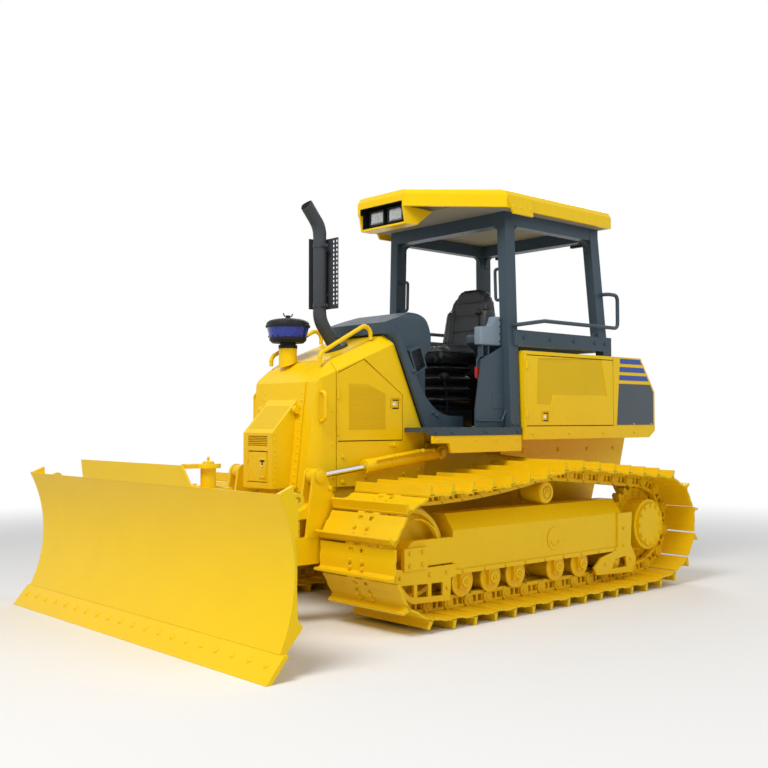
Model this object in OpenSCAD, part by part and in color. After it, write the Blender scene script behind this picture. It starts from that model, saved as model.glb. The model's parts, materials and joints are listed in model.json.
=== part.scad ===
// Small crawler dozer with a power angle and tilt blade, an open canopy and wide swamp shoes.
// Lengths are millimetres. X points forward, Y to the machine's left and Z up.
// Places along X are measured from the sprocket axle, and the whole machine is then centred.

/* [Tracks] */
// Sprocket axle to idler axle
wheelbase = 2305; // [2200:5:2400]
// Middle of one track to the middle of the other
gauge = 1540; // [1500:5:1600]
// Width of one track shoe
shoe_w = 635; // [560:5:650]
// Height of the sprocket axle above the ground
sprocket_z = 428; // [420:1:440]
// Height of the idler axle above the ground
idler_z = 414; // [405:1:425]
// Radius of the pin circle round the sprocket
sprocket_pin_r = 304; // [295:1:310]
// Radius of the pin circle round the idler
idler_pin_r = 308; // [300:1:312]
// Number of shoes in one track
shoe_count = 38; // [34:1:42]
// Pin line to the outer face of a shoe
shoe_rise = 47; // [40:1:52]
// Height of the lug on a shoe
lug_h = 48; // [30:1:50]
// Thickness of a shoe plate
shoe_t = 12; // [8:1:16]
// Thickness of a lug at its tip
lug_t = 14; // [10:1:20]
// Pin line to the running face of the links
link_rise = 45; // [35:1:50]
// Width of one row of links
link_w = 42; // [30:1:50]
// Distance between the middles of the two rows of links
link_gap = 124; // [116:1:134]
// Sag of the front upper run
track_sag = 30; // [0:1:40]
// Radius of a lower roller
roller_r = 75; // [65:1:80]
// Radius of the upper carrier roller
carrier_r = 72; // [60:1:85]
// Height of the carrier roller above the ground
carrier_z = 702; // [680:1:720]
// Width of a track frame
track_frame_w = 260; // [240:5:280]
// Underside of a track frame above the ground
track_frame_z = 268; // [255:1:285]
// Height of a track frame's side
track_frame_h = 258; // [230:1:280]

/* [Chassis] */
// Width of the main frame between the tracks
chassis_w = 560; // [520:5:600]
// Underside of the main frame above the ground
chassis_z = 345; // [320:5:380]
// Top of the main frame above the ground
chassis_top = 1030; // [1000:5:1060]
// Width of the engine hood
hood_w = 640; // [600:5:660]
// Height of the hood's front edge
hood_front_z = 1474; // [1440:2:1500]
// Height of the hood's rear edge
hood_rear_z = 1722; // [1690:2:1760]
// Thickness of the hood's sheet
hood_t = 12; // [8:1:20]
// Underside of the engine doors above the ground
door_z = 1050; // [1030:2:1080]
// Half width of the nose guard
guard_half = 150; // [130:2:170]
// How far the nose guard stands ahead of the nose
guard_depth = 135; // [100:5:160]

/* [Operator station] */
// Top of the floor above the ground
floor_z = 1127; // [1110:1:1140]
// Width over the floor's step plates
floor_w = 1240; // [1200:5:1280]
// Top of the canopy above the ground
roof_top = 2717; // [2680:1:2760]
// Width of the canopy roof
roof_w = 1320; // [1260:5:1380]
// Height of the roof's edge
roof_edge = 128; // [100:2:150]
// Thickness of a canopy post across the machine
post_t = 72; // [60:1:85]
// Depth of a canopy post along the machine
post_d = 96; // [80:1:110]
// Width of the seat
seat_w = 480; // [440:5:520]

/* [Rear body] */
// Width of the rear body
rear_w = 1270; // [1220:5:1290]
// Top of the rear body above the ground
rear_top = 1645; // [1630:1:1655]
// Underside of the rear body above the ground
rear_z = 1042; // [1035:1:1060]
// Split between the side doors and the skirt
rear_split_z = 1132; // [1120:1:1150]
// Thickness of the rear body's panels
panel_t = 25; // [18:1:35]

/* [Blade] */
// Width of the blade's mouldboard
blade_w = 2700; // [2500:10:2740]
// Height of the blade above the ground
blade_h = 838; // [800:2:860]
// Radius of the mouldboard's curve
blade_r = 780; // [740:5:900]
// Thickness of the mouldboard's plate
blade_t = 14; // [10:1:20]
// Cutting edge ahead of the sprocket axle
blade_tip_x = 3691; // [3660:1:3720]
// Height of the cutting edge's upper border
edge_h = 118; // [100:1:130]
// Overall width over the end bits
edge_w = 2764; // [2740:2:2790]

/* [Push frame and cylinders] */
// Push frame pivot ahead of the sprocket axle
pivot_x = 1555; // [1530:5:1580]
// Push frame pivot above the ground
pivot_z = 430; // [420:1:440]
// Middle of one push arm and its lift cylinder from the middle of the machine
arm_y = 385; // [380:1:388]
// Lift cylinder ear ahead of the sprocket axle
ear_x = 2630; // [2610:1:2640]
// Lift cylinder ear above the ground
ear_z = 845; // [835:1:855]
// Lift cylinder base ahead of the sprocket axle
lift_base_x = 1600; // [1590:1:1620]
// Lift cylinder base above the ground
lift_base_z = 965; // [955:1:975]
// Radius of a lift cylinder's barrel
lift_r = 43; // [38:1:44]
// Radius of a lift cylinder's rod
lift_rod_r = 20; // [16:1:24]
// Blade ball joint ahead of the sprocket axle
ball_x = 3320; // [3310:1:3330]
// Radius of an angle cylinder's barrel
angle_r = 40; // [34:1:42]
// Radius of an angle cylinder's rod
angle_rod_r = 18; // [14:1:22]

/* [Hidden] */

// Smoothness of round forms
$fn = 48;
// Overrun of every cut
over = 4;
// Gap between panels that meet
seam = 6;
// Gap between faces that only just stay apart
skin_gap = 0.3;
// Running clearance between a pin and its bore
pin_fit = 0.05;
// Running clearance beside an eye between its plates
side_fit = 2;

// Colours of the painted and bare pieces
body_yellow = "#f2b90a";
frame_grey = "#464d54";
trim_black = "#1d1f21";
bare_steel = "#c9ccd0";
lens_blue = "#2a3f8f";
light_grey = "#98a0a8";

// Rear reach of the drawbar, and the middle of the machine that becomes the origin
drawbar_x = -560;
mid_x = (blade_tip_x + drawbar_x) / 2;

// Ground line of the pins, where the lugs' tips touch the floor
pin_z = lug_h + shoe_rise;
// Ends of the flat run on the ground, as shares of the wheelbase
ground_shares = [0.09, 0.9];
// Places of the lower rollers and of the carrier roller, as shares of the wheelbase
roller_shares = [0.163, 0.326, 0.437, 0.611, 0.712, 0.821];
carrier_share = 0.464;
carrier_x = wheelbase * carrier_share;
roller_z = pin_z + link_rise + roller_r + skin_gap;
// Room between a wheel and the straight links that bridge it
wheel_clear = 8;
carrier_pin_z = carrier_z + carrier_r + link_rise + wheel_clear;
track_in = (gauge - shoe_w) / 2;
track_out = (gauge + shoe_w) / 2;

// Path of the pins: sprocket arc, ground run, idler arc and the two upper runs
arc_steps = 14;
run_steps = 8;
sprocket_low = [wheelbase * ground_shares[0], pin_z];
idler_low = [wheelbase * ground_shares[1], pin_z];
sprocket_from = 90 + atan2(carrier_pin_z - sprocket_z - sprocket_pin_r, carrier_x);
sprocket_to = 270 - atan2(sprocket_z - sprocket_pin_r - pin_z, sprocket_low[0]);
idler_from = -90 + atan2(idler_z - idler_pin_r - pin_z, wheelbase - idler_low[0]);
idler_to = 90 - atan2(carrier_pin_z - idler_z - idler_pin_r, wheelbase - carrier_x);
function arc_point(c, r, a) = [c[0] + r * cos(a), c[1] + r * sin(a)];
function arc_points(c, r, from, to, steps) =
    [for (i = [0:steps]) arc_point(c, r, from + (to - from) * i / steps)];
sprocket_arc = arc_points([0, sprocket_z], sprocket_pin_r, sprocket_from, sprocket_to, arc_steps);
idler_arc = arc_points([wheelbase, idler_z], idler_pin_r, idler_from, idler_to, arc_steps);
carrier_point = [carrier_x, carrier_pin_z];
idler_last = idler_arc[arc_steps];
front_run = [for (i = [1:run_steps])
    let (t = i / run_steps)
    idler_last + (carrier_point - idler_last) * t - [0, track_sag * 4 * t * (1 - t)]];
pin_path = concat(sprocket_arc, [sprocket_low, idler_low], idler_arc, front_run, [sprocket_arc[0]]);
function path_length(p, n) = n == 0 ? 0 : path_length(p, n - 1) + norm(p[n] - p[n - 1]);
path_stops = [for (i = [0:len(pin_path) - 1]) path_length(pin_path, i)];
loop_len = path_stops[len(pin_path) - 1];
pitch = loop_len / shoe_count;
path_x = [for (i = [0:len(pin_path) - 1]) [path_stops[i], pin_path[i][0]]];
path_z = [for (i = [0:len(pin_path) - 1]) [path_stops[i], pin_path[i][1]]];
function pin_at(i) = [lookup((i % shoe_count) * pitch, path_x),
    lookup((i % shoe_count) * pitch, path_z)];
// The path runs anticlockwise seen from the machine's right, so the outside is to its right hand
function outward(i) =
    let (d = pin_at(i + 1) - pin_at(i))
    [d[1], -d[0]] / norm(d);
function along(i) =
    let (d = pin_at(i + 1) - pin_at(i))
    d / norm(d);
function corner_out(i) =
    let (s = outward(i) + outward(i + shoe_count - 1))
    s / norm(s);

// Nose and hood lines along X and Z
nose_low_z = 770;
nose_low_x = 2631;
nose_top_x = 2557;
nose_top_z = 1406;
nose_round = 120;
hood_front_x = 2591;
hood_rear_x = 1962;
hood_chamfer = 70;
cowl_rear_x = 2416;
rear_lean = 0.453;
hood_low_rear_x = 1661;
door_rear_x = 1866;
door_knee_z = 1337;
door_top_x = 2191;
function hood_top_at(x) =
    hood_front_z + (hood_rear_z - hood_front_z) * (hood_front_x - x) / (hood_front_x - hood_rear_x);
function hood_rear_at(z) = hood_low_rear_x + rear_lean * (z - door_z);
// Front plane of the nose, where the guard seats
function nose_at(z) = skin_gap + nose_low_x
    + (nose_top_x - nose_low_x) * (z - nose_low_z) / (nose_top_z - nose_low_z);

// Moves the machine from the axle datum to its middle
module placed() {
    translate([-mid_x, 0, 0]) children();
}

// A piece and its mirror image on the other side
module both_sides() {
    children();
    mirror([0, 1, 0]) children();
}

// An outline in X and Z, from one Y to another
module side_plate(points, y0, y1) {
    translate([0, y1, 0]) rotate([90, 0, 0]) linear_extrude(y1 - y0) polygon(points);
}

// An outline in X and Y, from one Z to another
module plan_plate(points, z0, z1) {
    translate([0, 0, z0]) linear_extrude(z1 - z0) polygon(points);
}

// An outline in Y and Z, from one X to another
module cross_plate(points, x0, x1) {
    translate([x0, 0, 0]) rotate([90, 0, 90]) linear_extrude(x1 - x0) polygon(points);
}

// A box between two corners
module box(a, b) {
    translate(a) cube(b - a);
}

// A round bar between two points
module bar(p, q, r) {
    d = q - p;
    translate(p) rotate([0, acos(d[2] / norm(d)), atan2(d[1], d[0])]) cylinder(h = norm(d), r = r);
}

// A drum along Y
module drum(x, z, y0, y1, r) {
    translate([x, y1, z]) rotate([90, 0, 0]) cylinder(h = y1 - y0, r = r);
}

// A round rail through a list of points, with its corners bent to a radius and a little proud
elbow_rise = 0.8;
function unit(v) = v / norm(v);
module elbow(p, back, ahead, r, bend) {
    turn = acos(back * ahead);
    c = p + unit(back + ahead) * bend / sin(turn / 2);
    x = unit(p + back * bend / tan(turn / 2) - c);
    n = cross(x, -back);
    multmatrix([[x[0], -back[0], n[0], c[0]], [x[1], -back[1], n[1], c[1]],
        [x[2], -back[2], n[2], c[2]]])
        rotate_extrude(angle = 180 - turn) translate([bend, 0]) circle(r);
}
module rail(points, r, bend) {
    last = len(points) - 1;
    runs = [for (i = [0:last - 1]) unit(points[i + 1] - points[i])];
    cuts = [for (i = [0:last])
        i == 0 || i == last ? 0 : bend * tan(acos(runs[i - 1] * runs[i]) / 2) - over];
    for (i = [0:last - 1]) bar(points[i] + runs[i] * cuts[i], points[i + 1] - runs[i] * cuts[i + 1], r);
    for (i = [1:last - 1]) elbow(points[i], -runs[i - 1], runs[i], r + elbow_rise, bend);
}

// Outline points from shares of a length and a height
function shares_of(list, x, z) = [for (s = list) [s[0] * x, s[1] * z]];

// Points along a bow from one point to another, drawn towards a third
bow_steps = 8;
function bow(p, c, q) = [for (i = [0:bow_steps])
    let (t = i / bow_steps)
    p * (1 - t) * (1 - t) + c * 2 * t * (1 - t) + q * t * t];

// Track loop: shoes with one lug each, on two rows of links
lug_lean_share = 0.12;
function shoe_outline(i) =
    let (p = pin_at(i), q = pin_at(i + 1), n = outward(i), t = along(i), c = corner_out(i))
    [p + c * shoe_rise,
        p + n * (shoe_rise + lug_h) + t * lug_h * lug_lean_share,
        p + n * (shoe_rise + lug_h) + t * (lug_t + lug_h * lug_lean_share),
        p + n * shoe_rise + t * 2 * lug_t];
shoe_loop = [for (i = [0:shoe_count - 1]) each shoe_outline(i)];
shoe_inner = [for (i = [0:shoe_count - 1]) pin_at(i) + corner_out(i) * (shoe_rise - shoe_t)];
link_outer = [for (i = [0:shoe_count - 1]) pin_at(i) + corner_out(i) * (shoe_rise - shoe_t / 2)];
link_inner = [for (i = [0:2 * shoe_count - 1])
    let (k = floor(i / 2))
    i % 2 == 0 ? pin_at(k) - corner_out(k) * link_rise
        : [lookup((k + 0.5) * pitch, path_x),
            lookup((k + 0.5) * pitch, path_z)] - outward(k) * link_rise];
module ring_plate(outer, inner, y0, y1) {
    translate([0, y1, 0]) rotate([90, 0, 0]) linear_extrude(y1 - y0) difference() {
        polygon(outer);
        polygon(inner);
    }
}
module track_loop() {
    color(body_yellow) placed() {
        ring_plate(shoe_loop, shoe_inner, track_in, track_out);
        for (s = [-1, 1])
            ring_plate(link_outer, link_inner, (gauge + s * link_gap - link_w) / 2,
                (gauge + s * link_gap + link_w) / 2);
    }
}
module track_left() {
    track_loop();
}
module track_right() {
    mirror([0, 1, 0]) track_loop();
}

// Track frames: box beams with a sloped top, an idler yoke and roller guards at both ends
frame_ridge = 95;
frame_ridge_half = 60;
frame_front_x = 2005;
frame_rear_x = 312;
yoke_t = 34;
channel_h = 50;
yoke_h = 150;
idler_boss_r = 62;
idler_block_t = 28;
idler_cover_r = 200;
idler_cover_t = 8;
idler_cover_from = 84;
idler_cover_to = 166;
cross_beam_z = 395;
cross_beam_h = 130;
cross_beam_front_x = 1330;
cross_beam_rear_x = 560;
cross_beam_d = 150;
guide_t = 16;
flange_h = 26;
patch_r = 74;
patch_t = 6;
patch_share = 0.458;
patch_rise_share = 0.54;
// Outlines of the guards and their windows, as shares of the wheelbase and of an axle's height
front_guard_shares = [[0.863, 0.633], [0.882, 0.614], [0.885, 0.3], [1.017, 0.33], [1.065, 0.483],
    [1.095, 0.633], [1.095, 0.855], [1.041, 0.8], [0.863, 0.8]];
front_window_shares = [[[0.912, 0.386], [0.952, 0.396], [0.952, 0.575], [0.912, 0.57]],
    [[0.964, 0.4], [1.001, 0.41], [1.001, 0.585], [0.964, 0.577]],
    [[1.013, 0.42], [1.029, 0.444], [1.054, 0.594], [1.013, 0.589]]];
rear_guard_shares = [[0.161, 1.23], [0.085, 1.23], [0.093, 0.7], [0.065, 0.467], [0.083, 0.245],
    [0.265, 0.287], [0.278, 0.402], [0.243, 0.551], [0.187, 0.612], [0.161, 0.678]];
rear_window_shares = [[0.113, 0.35], [0.191, 0.35], [0.174, 0.5], [0.12, 0.526]];
idler_block_shares = [[0.969, 0.787], [1.0495, 0.787], [1.0495, 1.092], [0.969, 1.092]];
module guard_plate(outline, windows, y, z) {
    difference() {
        side_plate(shares_of(outline, wheelbase, z), y - guide_t / 2, y + guide_t / 2);
        for (w = windows) side_plate(shares_of(w, wheelbase, z), y - guide_t, y + guide_t);
    }
}
module track_frame() {
    half = track_frame_w / 2;
    top = track_frame_z + track_frame_h;
    in_half = roller_half + side_fit;
    roof = track_frame_z + channel_h;
    hub = [wheelbase, idler_z];
    cross_plate([[gauge / 2 - half, track_frame_z], [gauge / 2 - in_half, track_frame_z],
        [gauge / 2 - in_half, roof], [gauge / 2 + in_half, roof], [gauge / 2 + in_half, track_frame_z],
        [gauge / 2 + half, track_frame_z], [gauge / 2 + half, top],
        [gauge / 2 + frame_ridge_half, top + frame_ridge],
        [gauge / 2 - frame_ridge_half, top + frame_ridge],
        [gauge / 2 - half, top]], frame_rear_x, frame_front_x);
    for (s = [-1, 1]) {
        y = gauge / 2 + s * (half - yoke_t / 2);
        box([frame_front_x - over, y - yoke_t / 2, idler_z - yoke_h / 2],
            [wheelbase, y + yoke_t / 2, idler_z + yoke_h / 2]);
        drum(wheelbase, idler_z, y - yoke_t / 2, y + yoke_t / 2, yoke_h / 2);
        side_plate(concat(arc_points(hub, idler_cover_r, idler_cover_from, idler_cover_to, arc_steps),
            arc_points(hub, idler_cover_r - idler_cover_t, idler_cover_to, idler_cover_from,
            arc_steps)),
            y - yoke_t / 2, y + yoke_t / 2);
        block_y = gauge / 2 + s * (half - over + idler_block_t / 2);
        side_plate(shares_of(idler_block_shares, wheelbase, idler_z), block_y - idler_block_t / 2,
            block_y + idler_block_t / 2);
        guard_y = gauge / 2 + s * (half - over + guide_t / 2);
        guard_plate(front_guard_shares, front_window_shares, guard_y, idler_z);
        guard_plate(rear_guard_shares, [rear_window_shares], guard_y, sprocket_z);
        box([frame_rear_x, guard_y - guide_t / 2, track_frame_z],
            [frame_front_x, guard_y + guide_t / 2, track_frame_z + flange_h]);
    }
    drum(wheelbase * patch_share, track_frame_z + track_frame_h * patch_rise_share, gauge / 2,
        gauge / 2 + half + patch_t, patch_r);
    for (x = [cross_beam_front_x, cross_beam_rear_x])
        box([x - cross_beam_d / 2, chassis_w / 2, cross_beam_z - cross_beam_h / 2],
            [x + cross_beam_d / 2, gauge / 2, cross_beam_z + cross_beam_h / 2]);
}
module track_frames() {
    color(body_yellow) placed() both_sides() track_frame();
}

// Lower rollers with their shaft brackets, and the carrier rollers on their stands
roller_flange = 16;
roller_half = 100;
roller_flange_w = 14;
roller_cap_w = 22;
roller_cap_half = 40;
carrier_half = 84;
carrier_lip = 8;
carrier_cap_r = 44;
carrier_stand_w = 60;
carrier_stand_d = 90;
module lower_roller(x) {
    y = gauge / 2;
    drum(x, roller_z, y - roller_half, y + roller_half, roller_r);
    for (s = [-1, 1]) {
        fy = y + s * (roller_half - roller_flange_w / 2);
        drum(x, roller_z, fy - roller_flange_w / 2, fy + roller_flange_w / 2, roller_r + roller_flange);
        cy = y + s * (roller_half + roller_cap_w / 2);
        box([x - roller_cap_half, cy - roller_cap_w / 2 - over, roller_z - roller_cap_half],
            [x + roller_cap_half, cy + roller_cap_w / 2, track_frame_z]);
    }
}
module carrier_roller() {
    y = gauge / 2;
    translate([carrier_x, y, carrier_z]) rotate([-90, 0, 0]) rotate_extrude()
        polygon([[0, -carrier_half],
        [carrier_r, -carrier_half], [carrier_r, carrier_half - carrier_lip],
        [carrier_r - carrier_lip, carrier_half],
        [carrier_cap_r, carrier_half], [carrier_cap_r, carrier_half - carrier_lip],
        [carrier_cap_r - carrier_lip, carrier_half - carrier_lip],
        [carrier_cap_r - carrier_lip, carrier_half],
        [0, carrier_half]]);
    stand = y - track_frame_w / 2;
    drum(carrier_x, carrier_z, stand - over, y + over - carrier_half, carrier_r / 2);
    box([carrier_x - carrier_stand_d / 2, stand - carrier_stand_w,
        track_frame_z + track_frame_h - frame_ridge],
        [carrier_x + carrier_stand_d / 2, stand, carrier_z + carrier_r / 2]);
}
module track_rollers() {
    color(body_yellow) placed() both_sides() {
        for (s = roller_shares) lower_roller(wheelbase * s);
        carrier_roller();
    }
}

// Idlers in the yokes of the track frames
idler_tread_half = 90;
idler_rim = 26;
idler_flange_half = 36;
idler_web = 40;
idler_shaft_r = 38;
module idler() {
    r = idler_pin_r - link_rise - wheel_clear;
    translate([wheelbase, gauge / 2, idler_z]) rotate([90, 0, 0]) rotate_extrude() polygon([
        [idler_shaft_r, -idler_tread_half], [idler_boss_r, -idler_tread_half],
        [idler_boss_r, -idler_web / 2], [r - idler_rim, -idler_web / 2],
        [r - idler_rim, -idler_tread_half],
        [r, -idler_tread_half], [r, -idler_flange_half], [r + idler_rim, -idler_flange_half],
        [r + idler_rim, idler_flange_half], [r, idler_flange_half], [r, idler_tread_half],
        [r - idler_rim, idler_tread_half], [r - idler_rim, idler_web / 2],
        [idler_boss_r, idler_web / 2],
        [idler_boss_r, idler_tread_half], [idler_shaft_r, idler_tread_half]]);
    drum(wheelbase, idler_z, gauge / 2 - track_frame_w / 2 + yoke_t,
        gauge / 2 + track_frame_w / 2 - yoke_t,
        idler_shaft_r + over);
}
module idlers() {
    color(body_yellow) placed() both_sides() idler();
}

// Sprockets with their teeth, and the final drives that carry them
tooth_count = 22;
tooth_h = 34;
tooth_shares = [-0.36, -0.14, 0.14, 0.36];
sprocket_w = 56;
drive_r = 178;
drive_out = 165;
drive_neck_r = 150;
cover_t = 18;
cover_r = 150;
tooth_root = sprocket_pin_r - link_rise - wheel_clear;
tooth_radii = [tooth_root, tooth_root + tooth_h, tooth_root + tooth_h, tooth_root];
tooth_ring = [for (i = [0:tooth_count - 1], j = [0:3])
    arc_point([0, sprocket_z], tooth_radii[j], (i + tooth_shares[j]) * 360 / tooth_count)];
module sprocket() {
    y = gauge / 2;
    side_plate(tooth_ring, y - sprocket_w / 2, y + sprocket_w / 2);
    drum(0, sprocket_z, chassis_w / 2, y - sprocket_w, drive_neck_r);
    drum(0, sprocket_z, y - 2 * sprocket_w, y + drive_out - cover_t, drive_r);
    drum(0, sprocket_z, y, y + drive_out, cover_r);
}
module sprockets() {
    color(body_yellow) placed() both_sides() sprocket();
}

// Main frame: the hull between the tracks, its cross ends and the lift cylinder brackets
chassis_front_x = 2560;
chassis_rear_x = -330;
chassis_slope = 220;
pivot_boss_r = 62;
bracket_t = 22;
bracket_r = 58;
lift_pin_r = 24;
lift_eye_half = 28;
tail_w = 840;
tail_z = 940;
tail_rear_x = -440;
tail_low_x = -372;
tail_low_z = 826;
shelf_t = 24;
module main_frame() {
    color(body_yellow) placed() {
        side_plate([[chassis_rear_x, tail_z], [chassis_rear_x + chassis_slope, chassis_z],
            [chassis_front_x - chassis_slope, chassis_z], [chassis_front_x, chassis_z + chassis_slope],
            [chassis_front_x, nose_low_z], [hood_low_rear_x, nose_low_z],
            [hood_low_rear_x, chassis_top], [chassis_rear_x, chassis_top]],
            -chassis_w / 2, chassis_w / 2);
        side_plate([[tail_rear_x, rear_z], [tail_low_x, tail_low_z],
            [rear_front_x - tail_z, tail_low_z],
            [rear_front_x, tail_z], [rear_front_x, rear_z]], -tail_w / 2, tail_w / 2);
        box([floor_rear_x, -chassis_w / 2, chassis_top - over],
            [hood_low_rear_x - seam, chassis_w / 2, floor_z - floor_t]);
        box([cowl_rear_x, -hood_w / 2 + over, nose_low_z - shelf_t],
            [nose_low_x - over, hood_w / 2 - over, nose_low_z]);
        both_sides() {
            drum(pivot_x, pivot_z, chassis_w / 2 - over, arm_y - lift_eye_half - side_fit,
                pivot_boss_r);
            drum(pivot_x, pivot_z, chassis_w / 2 - over, arm_y + lift_eye_half + bracket_t, lift_pin_r);
            box([lift_base_x - bracket_r, chassis_w / 2 - over, tail_z],
                [lift_base_x + bracket_r, arm_y - lift_r - 3 * side_fit, lift_base_z + bracket_r]);
            drum(lift_base_x, lift_base_z, chassis_w / 2, arm_y - lift_eye_half - side_fit,
                lift_eye_r - over);
            drum(lift_base_x, lift_base_z, chassis_w / 2 - over, arm_y + lift_eye_half + bracket_t,
                lift_pin_r);
        }
    }
}

// Engine as one plain block on the main frame
engine_len = 520;
engine_w = 460;
engine_h = 560;
engine_front_x = 2330;
module engine_block() {
    color(frame_grey) placed() box([engine_front_x - engine_len, -engine_w / 2, nose_low_z],
        [engine_front_x, engine_w / 2, nose_low_z + engine_h]);
}

// Nose cowl: a shell with rounded front corners that leans back
cowl_t = 20;
module cowl_plan(inset, extra) {
    half = hood_w / 2 - inset;
    r = nose_round - inset;
    front = nose_low_x - inset;
    translate([cowl_rear_x - extra, -half]) square([front - r - cowl_rear_x + extra, 2 * half]);
    translate([front - r - over, r - half]) square([r + over, 2 * (half - r)]);
    for (s = [-1, 1]) translate([front - r, s * (half - r)]) circle(r);
}
module cowl_side(inset, drop) {
    side_plate([[cowl_rear_x - over, nose_low_z - drop], [nose_low_x - inset, nose_low_z - drop],
        [nose_top_x - inset, nose_top_z],
        [nose_top_x - inset - hood_chamfer, hood_top_at(nose_top_x) - inset],
        [cowl_rear_x - over, hood_top_at(cowl_rear_x) - inset]], -hood_w, hood_w);
}
module nose_cowl() {
    color(body_yellow) placed() difference() {
        intersection() {
            translate([0, 0, nose_low_z]) linear_extrude(roof_top) cowl_plan(0, 0);
            cowl_side(0, 0);
            hood_section(0);
        }
        intersection() {
            translate([0, 0, nose_low_z - over]) linear_extrude(roof_top) cowl_plan(cowl_t, over);
            cowl_side(cowl_t, over);
            hood_section(cowl_t);
        }
    }
}

// Nose guard box in front of the cowl, open behind its grille and its hatch
guard_low_z = 765;
guard_knee_z = 1099;
guard_top_z = 1300;
guard_t = 16;
guard_flange = 64;
guard_flange_t = 10;
hatch_half = 100;
hatch_low_z = 800;
hatch_top_z = 990;
grille_low_z = 1015;
grille_top_z = 1080;
louvre_count = 6;
ear_lug_r = 26;
ear_lug_z = 1238;
ear_lug_y = 172;
module guard_outline(inset) {
    front = nose_low_x + guard_depth - inset;
    side_plate([[nose_at(guard_low_z) - inset, guard_low_z - inset], [front, guard_low_z - inset],
        [front, guard_knee_z], [nose_at(guard_top_z) + guard_flange_t - inset, guard_top_z],
        [nose_at(guard_top_z) - inset, guard_top_z]],
        -guard_half + inset, guard_half - inset);
}
module nose_guard() {
    front = nose_low_x + guard_depth;
    color(body_yellow) placed() difference() {
        union() {
            difference() {
                guard_outline(0);
                guard_outline(guard_t);
            }
            side_plate([[nose_at(guard_low_z), guard_low_z],
                [nose_at(guard_low_z) + guard_flange_t, guard_low_z],
                [nose_at(nose_top_z) + guard_flange_t, nose_top_z], [nose_at(nose_top_z), nose_top_z]],
                -guard_half - guard_flange, guard_half + guard_flange);
            for (i = [1:louvre_count])
                box([front - guard_t, -guard_half + over,
                        grille_low_z + (grille_top_z - grille_low_z) * (i - 1) / louvre_count],
                    [front - guard_flange_t, guard_half - over,
                        grille_low_z + (grille_top_z - grille_low_z) * (i - 0.5) / louvre_count]);
            for (s = [-1, 1])
                drum(nose_at(ear_lug_z) + ear_lug_r, ear_lug_z, s * ear_lug_y - guard_t,
                    s * ear_lug_y + guard_t,
                    ear_lug_r);
        }
        box([front - 2 * guard_t, -hatch_half, hatch_low_z], [front + over, hatch_half, hatch_top_z]);
        knuckles(front, -hatch_half + skin_gap, hatch_low_z, hatch_top_z, side_fit);
        for (i = [1:louvre_count])
            box([front - 2 * guard_t, -hatch_half,
                    grille_low_z + (grille_top_z - grille_low_z) * (i - 0.5) / louvre_count],
                [front + over, hatch_half,
                    grille_low_z + (grille_top_z - grille_low_z) * i / louvre_count]);
    }
}
module nose_door() {
    front = nose_low_x + guard_depth;
    color(body_yellow) placed() {
        box([front - guard_t, -hatch_half + skin_gap, hatch_low_z + seam],
            [front, hatch_half - seam, hatch_top_z - seam]);
        knuckles(front, -hatch_half + skin_gap, hatch_low_z, hatch_top_z, 0);
    }
}

// Section of the hood along its slope, with chamfered upper edges
module hood_section(inset) {
    slope = (hood_rear_z - hood_front_z) / (hood_front_x - hood_rear_x);
    half = hood_w / 2 - inset;
    multmatrix([[1, 0, 0, 0], [0, 1, 0, 0], [-slope, 0, 1, 0]])
        translate([0, 0, slope * hood_front_x + hood_front_z])
        cross_plate([[-half, -roof_top], [half, -roof_top], [half, -hood_chamfer - inset],
            [half - hood_chamfer, -inset], [hood_chamfer - half, -inset],
            [-half, -hood_chamfer - inset]],
            0, 2 * hood_front_x);
}
// Hood: a chamfered shell open at its sides for the engine doors
module hood_outline(inset, extra) {
    front = cowl_rear_x - seam + extra;
    low = door_z - nose_round;
    intersection() {
        side_plate([[front, low], [front, roof_top], [hood_rear_at(roof_top) - extra, roof_top],
            [hood_rear_at(low) - extra, low]], -hood_w, hood_w);
        hood_section(inset);
    }
}
// Outline of an engine door, with one gap at its hinge and another round its other edges
function door_outline(hinge, g) =
    let (front = door_hinge_x)
    [[front + hinge, door_z - g], [door_rear_x - g, door_z - g],
        [door_rear_x - g, door_knee_z], [door_top_x - g,
        hood_top_at(door_top_x) - hood_chamfer - hood_t + g],
        [front + hinge, hood_top_at(cowl_rear_x) - hood_chamfer - hood_t + g]];
door_hinge_x = cowl_rear_x - seam - hood_t;
module hood() {
    color(body_yellow) placed() difference() {
        hood_outline(0, 0);
        hood_outline(hood_t, over);
        side_plate([[cowl_rear_x, door_z - roof_top], [cowl_rear_x, door_z - 2 * seam],
            [hood_rear_at(door_z) - roof_top, door_z - 2 * seam],
            [hood_rear_at(door_z) - roof_top, door_z - roof_top]],
            -hood_w, hood_w);
        side_plate(door_outline(skin_gap, seam), -hood_w, hood_w);
        both_sides() knuckles(door_hinge_x, hood_w / 2, door_z, vent_top_z, side_fit);
    }
}

// Hinge knuckles along a door's axis, or the room for them
knuckle_r = 8;
knuckle_h = 60;
knuckle_shares = [0.18, 0.82];
module knuckles(x, y, z0, z1, room) {
    h = knuckle_h + 2 * room;
    for (s = knuckle_shares) translate([x, y, z0 + (z1 - z0) * s - h / 2])
        cylinder(h = h, r = knuckle_r + room);
}

// A paddle latch on a left-hand panel face: its recess, or the paddle in it
latch_w = 88;
latch_h = 78;
latch_depth = 6;
paddle_share = 0.55;
module latch_recess(x, y, z) {
    box([x - latch_w / 2, y - latch_depth, z - latch_h / 2],
        [x + latch_w / 2, y + over, z + latch_h / 2]);
}
module latch_paddle(x, y, z) {
    box([x - latch_w * paddle_share / 2, y - latch_depth - over, z - latch_h * paddle_share / 2],
        [x + latch_w / 2 - latch_depth, y - side_fit, z + latch_h * paddle_share / 2]);
}

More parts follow.
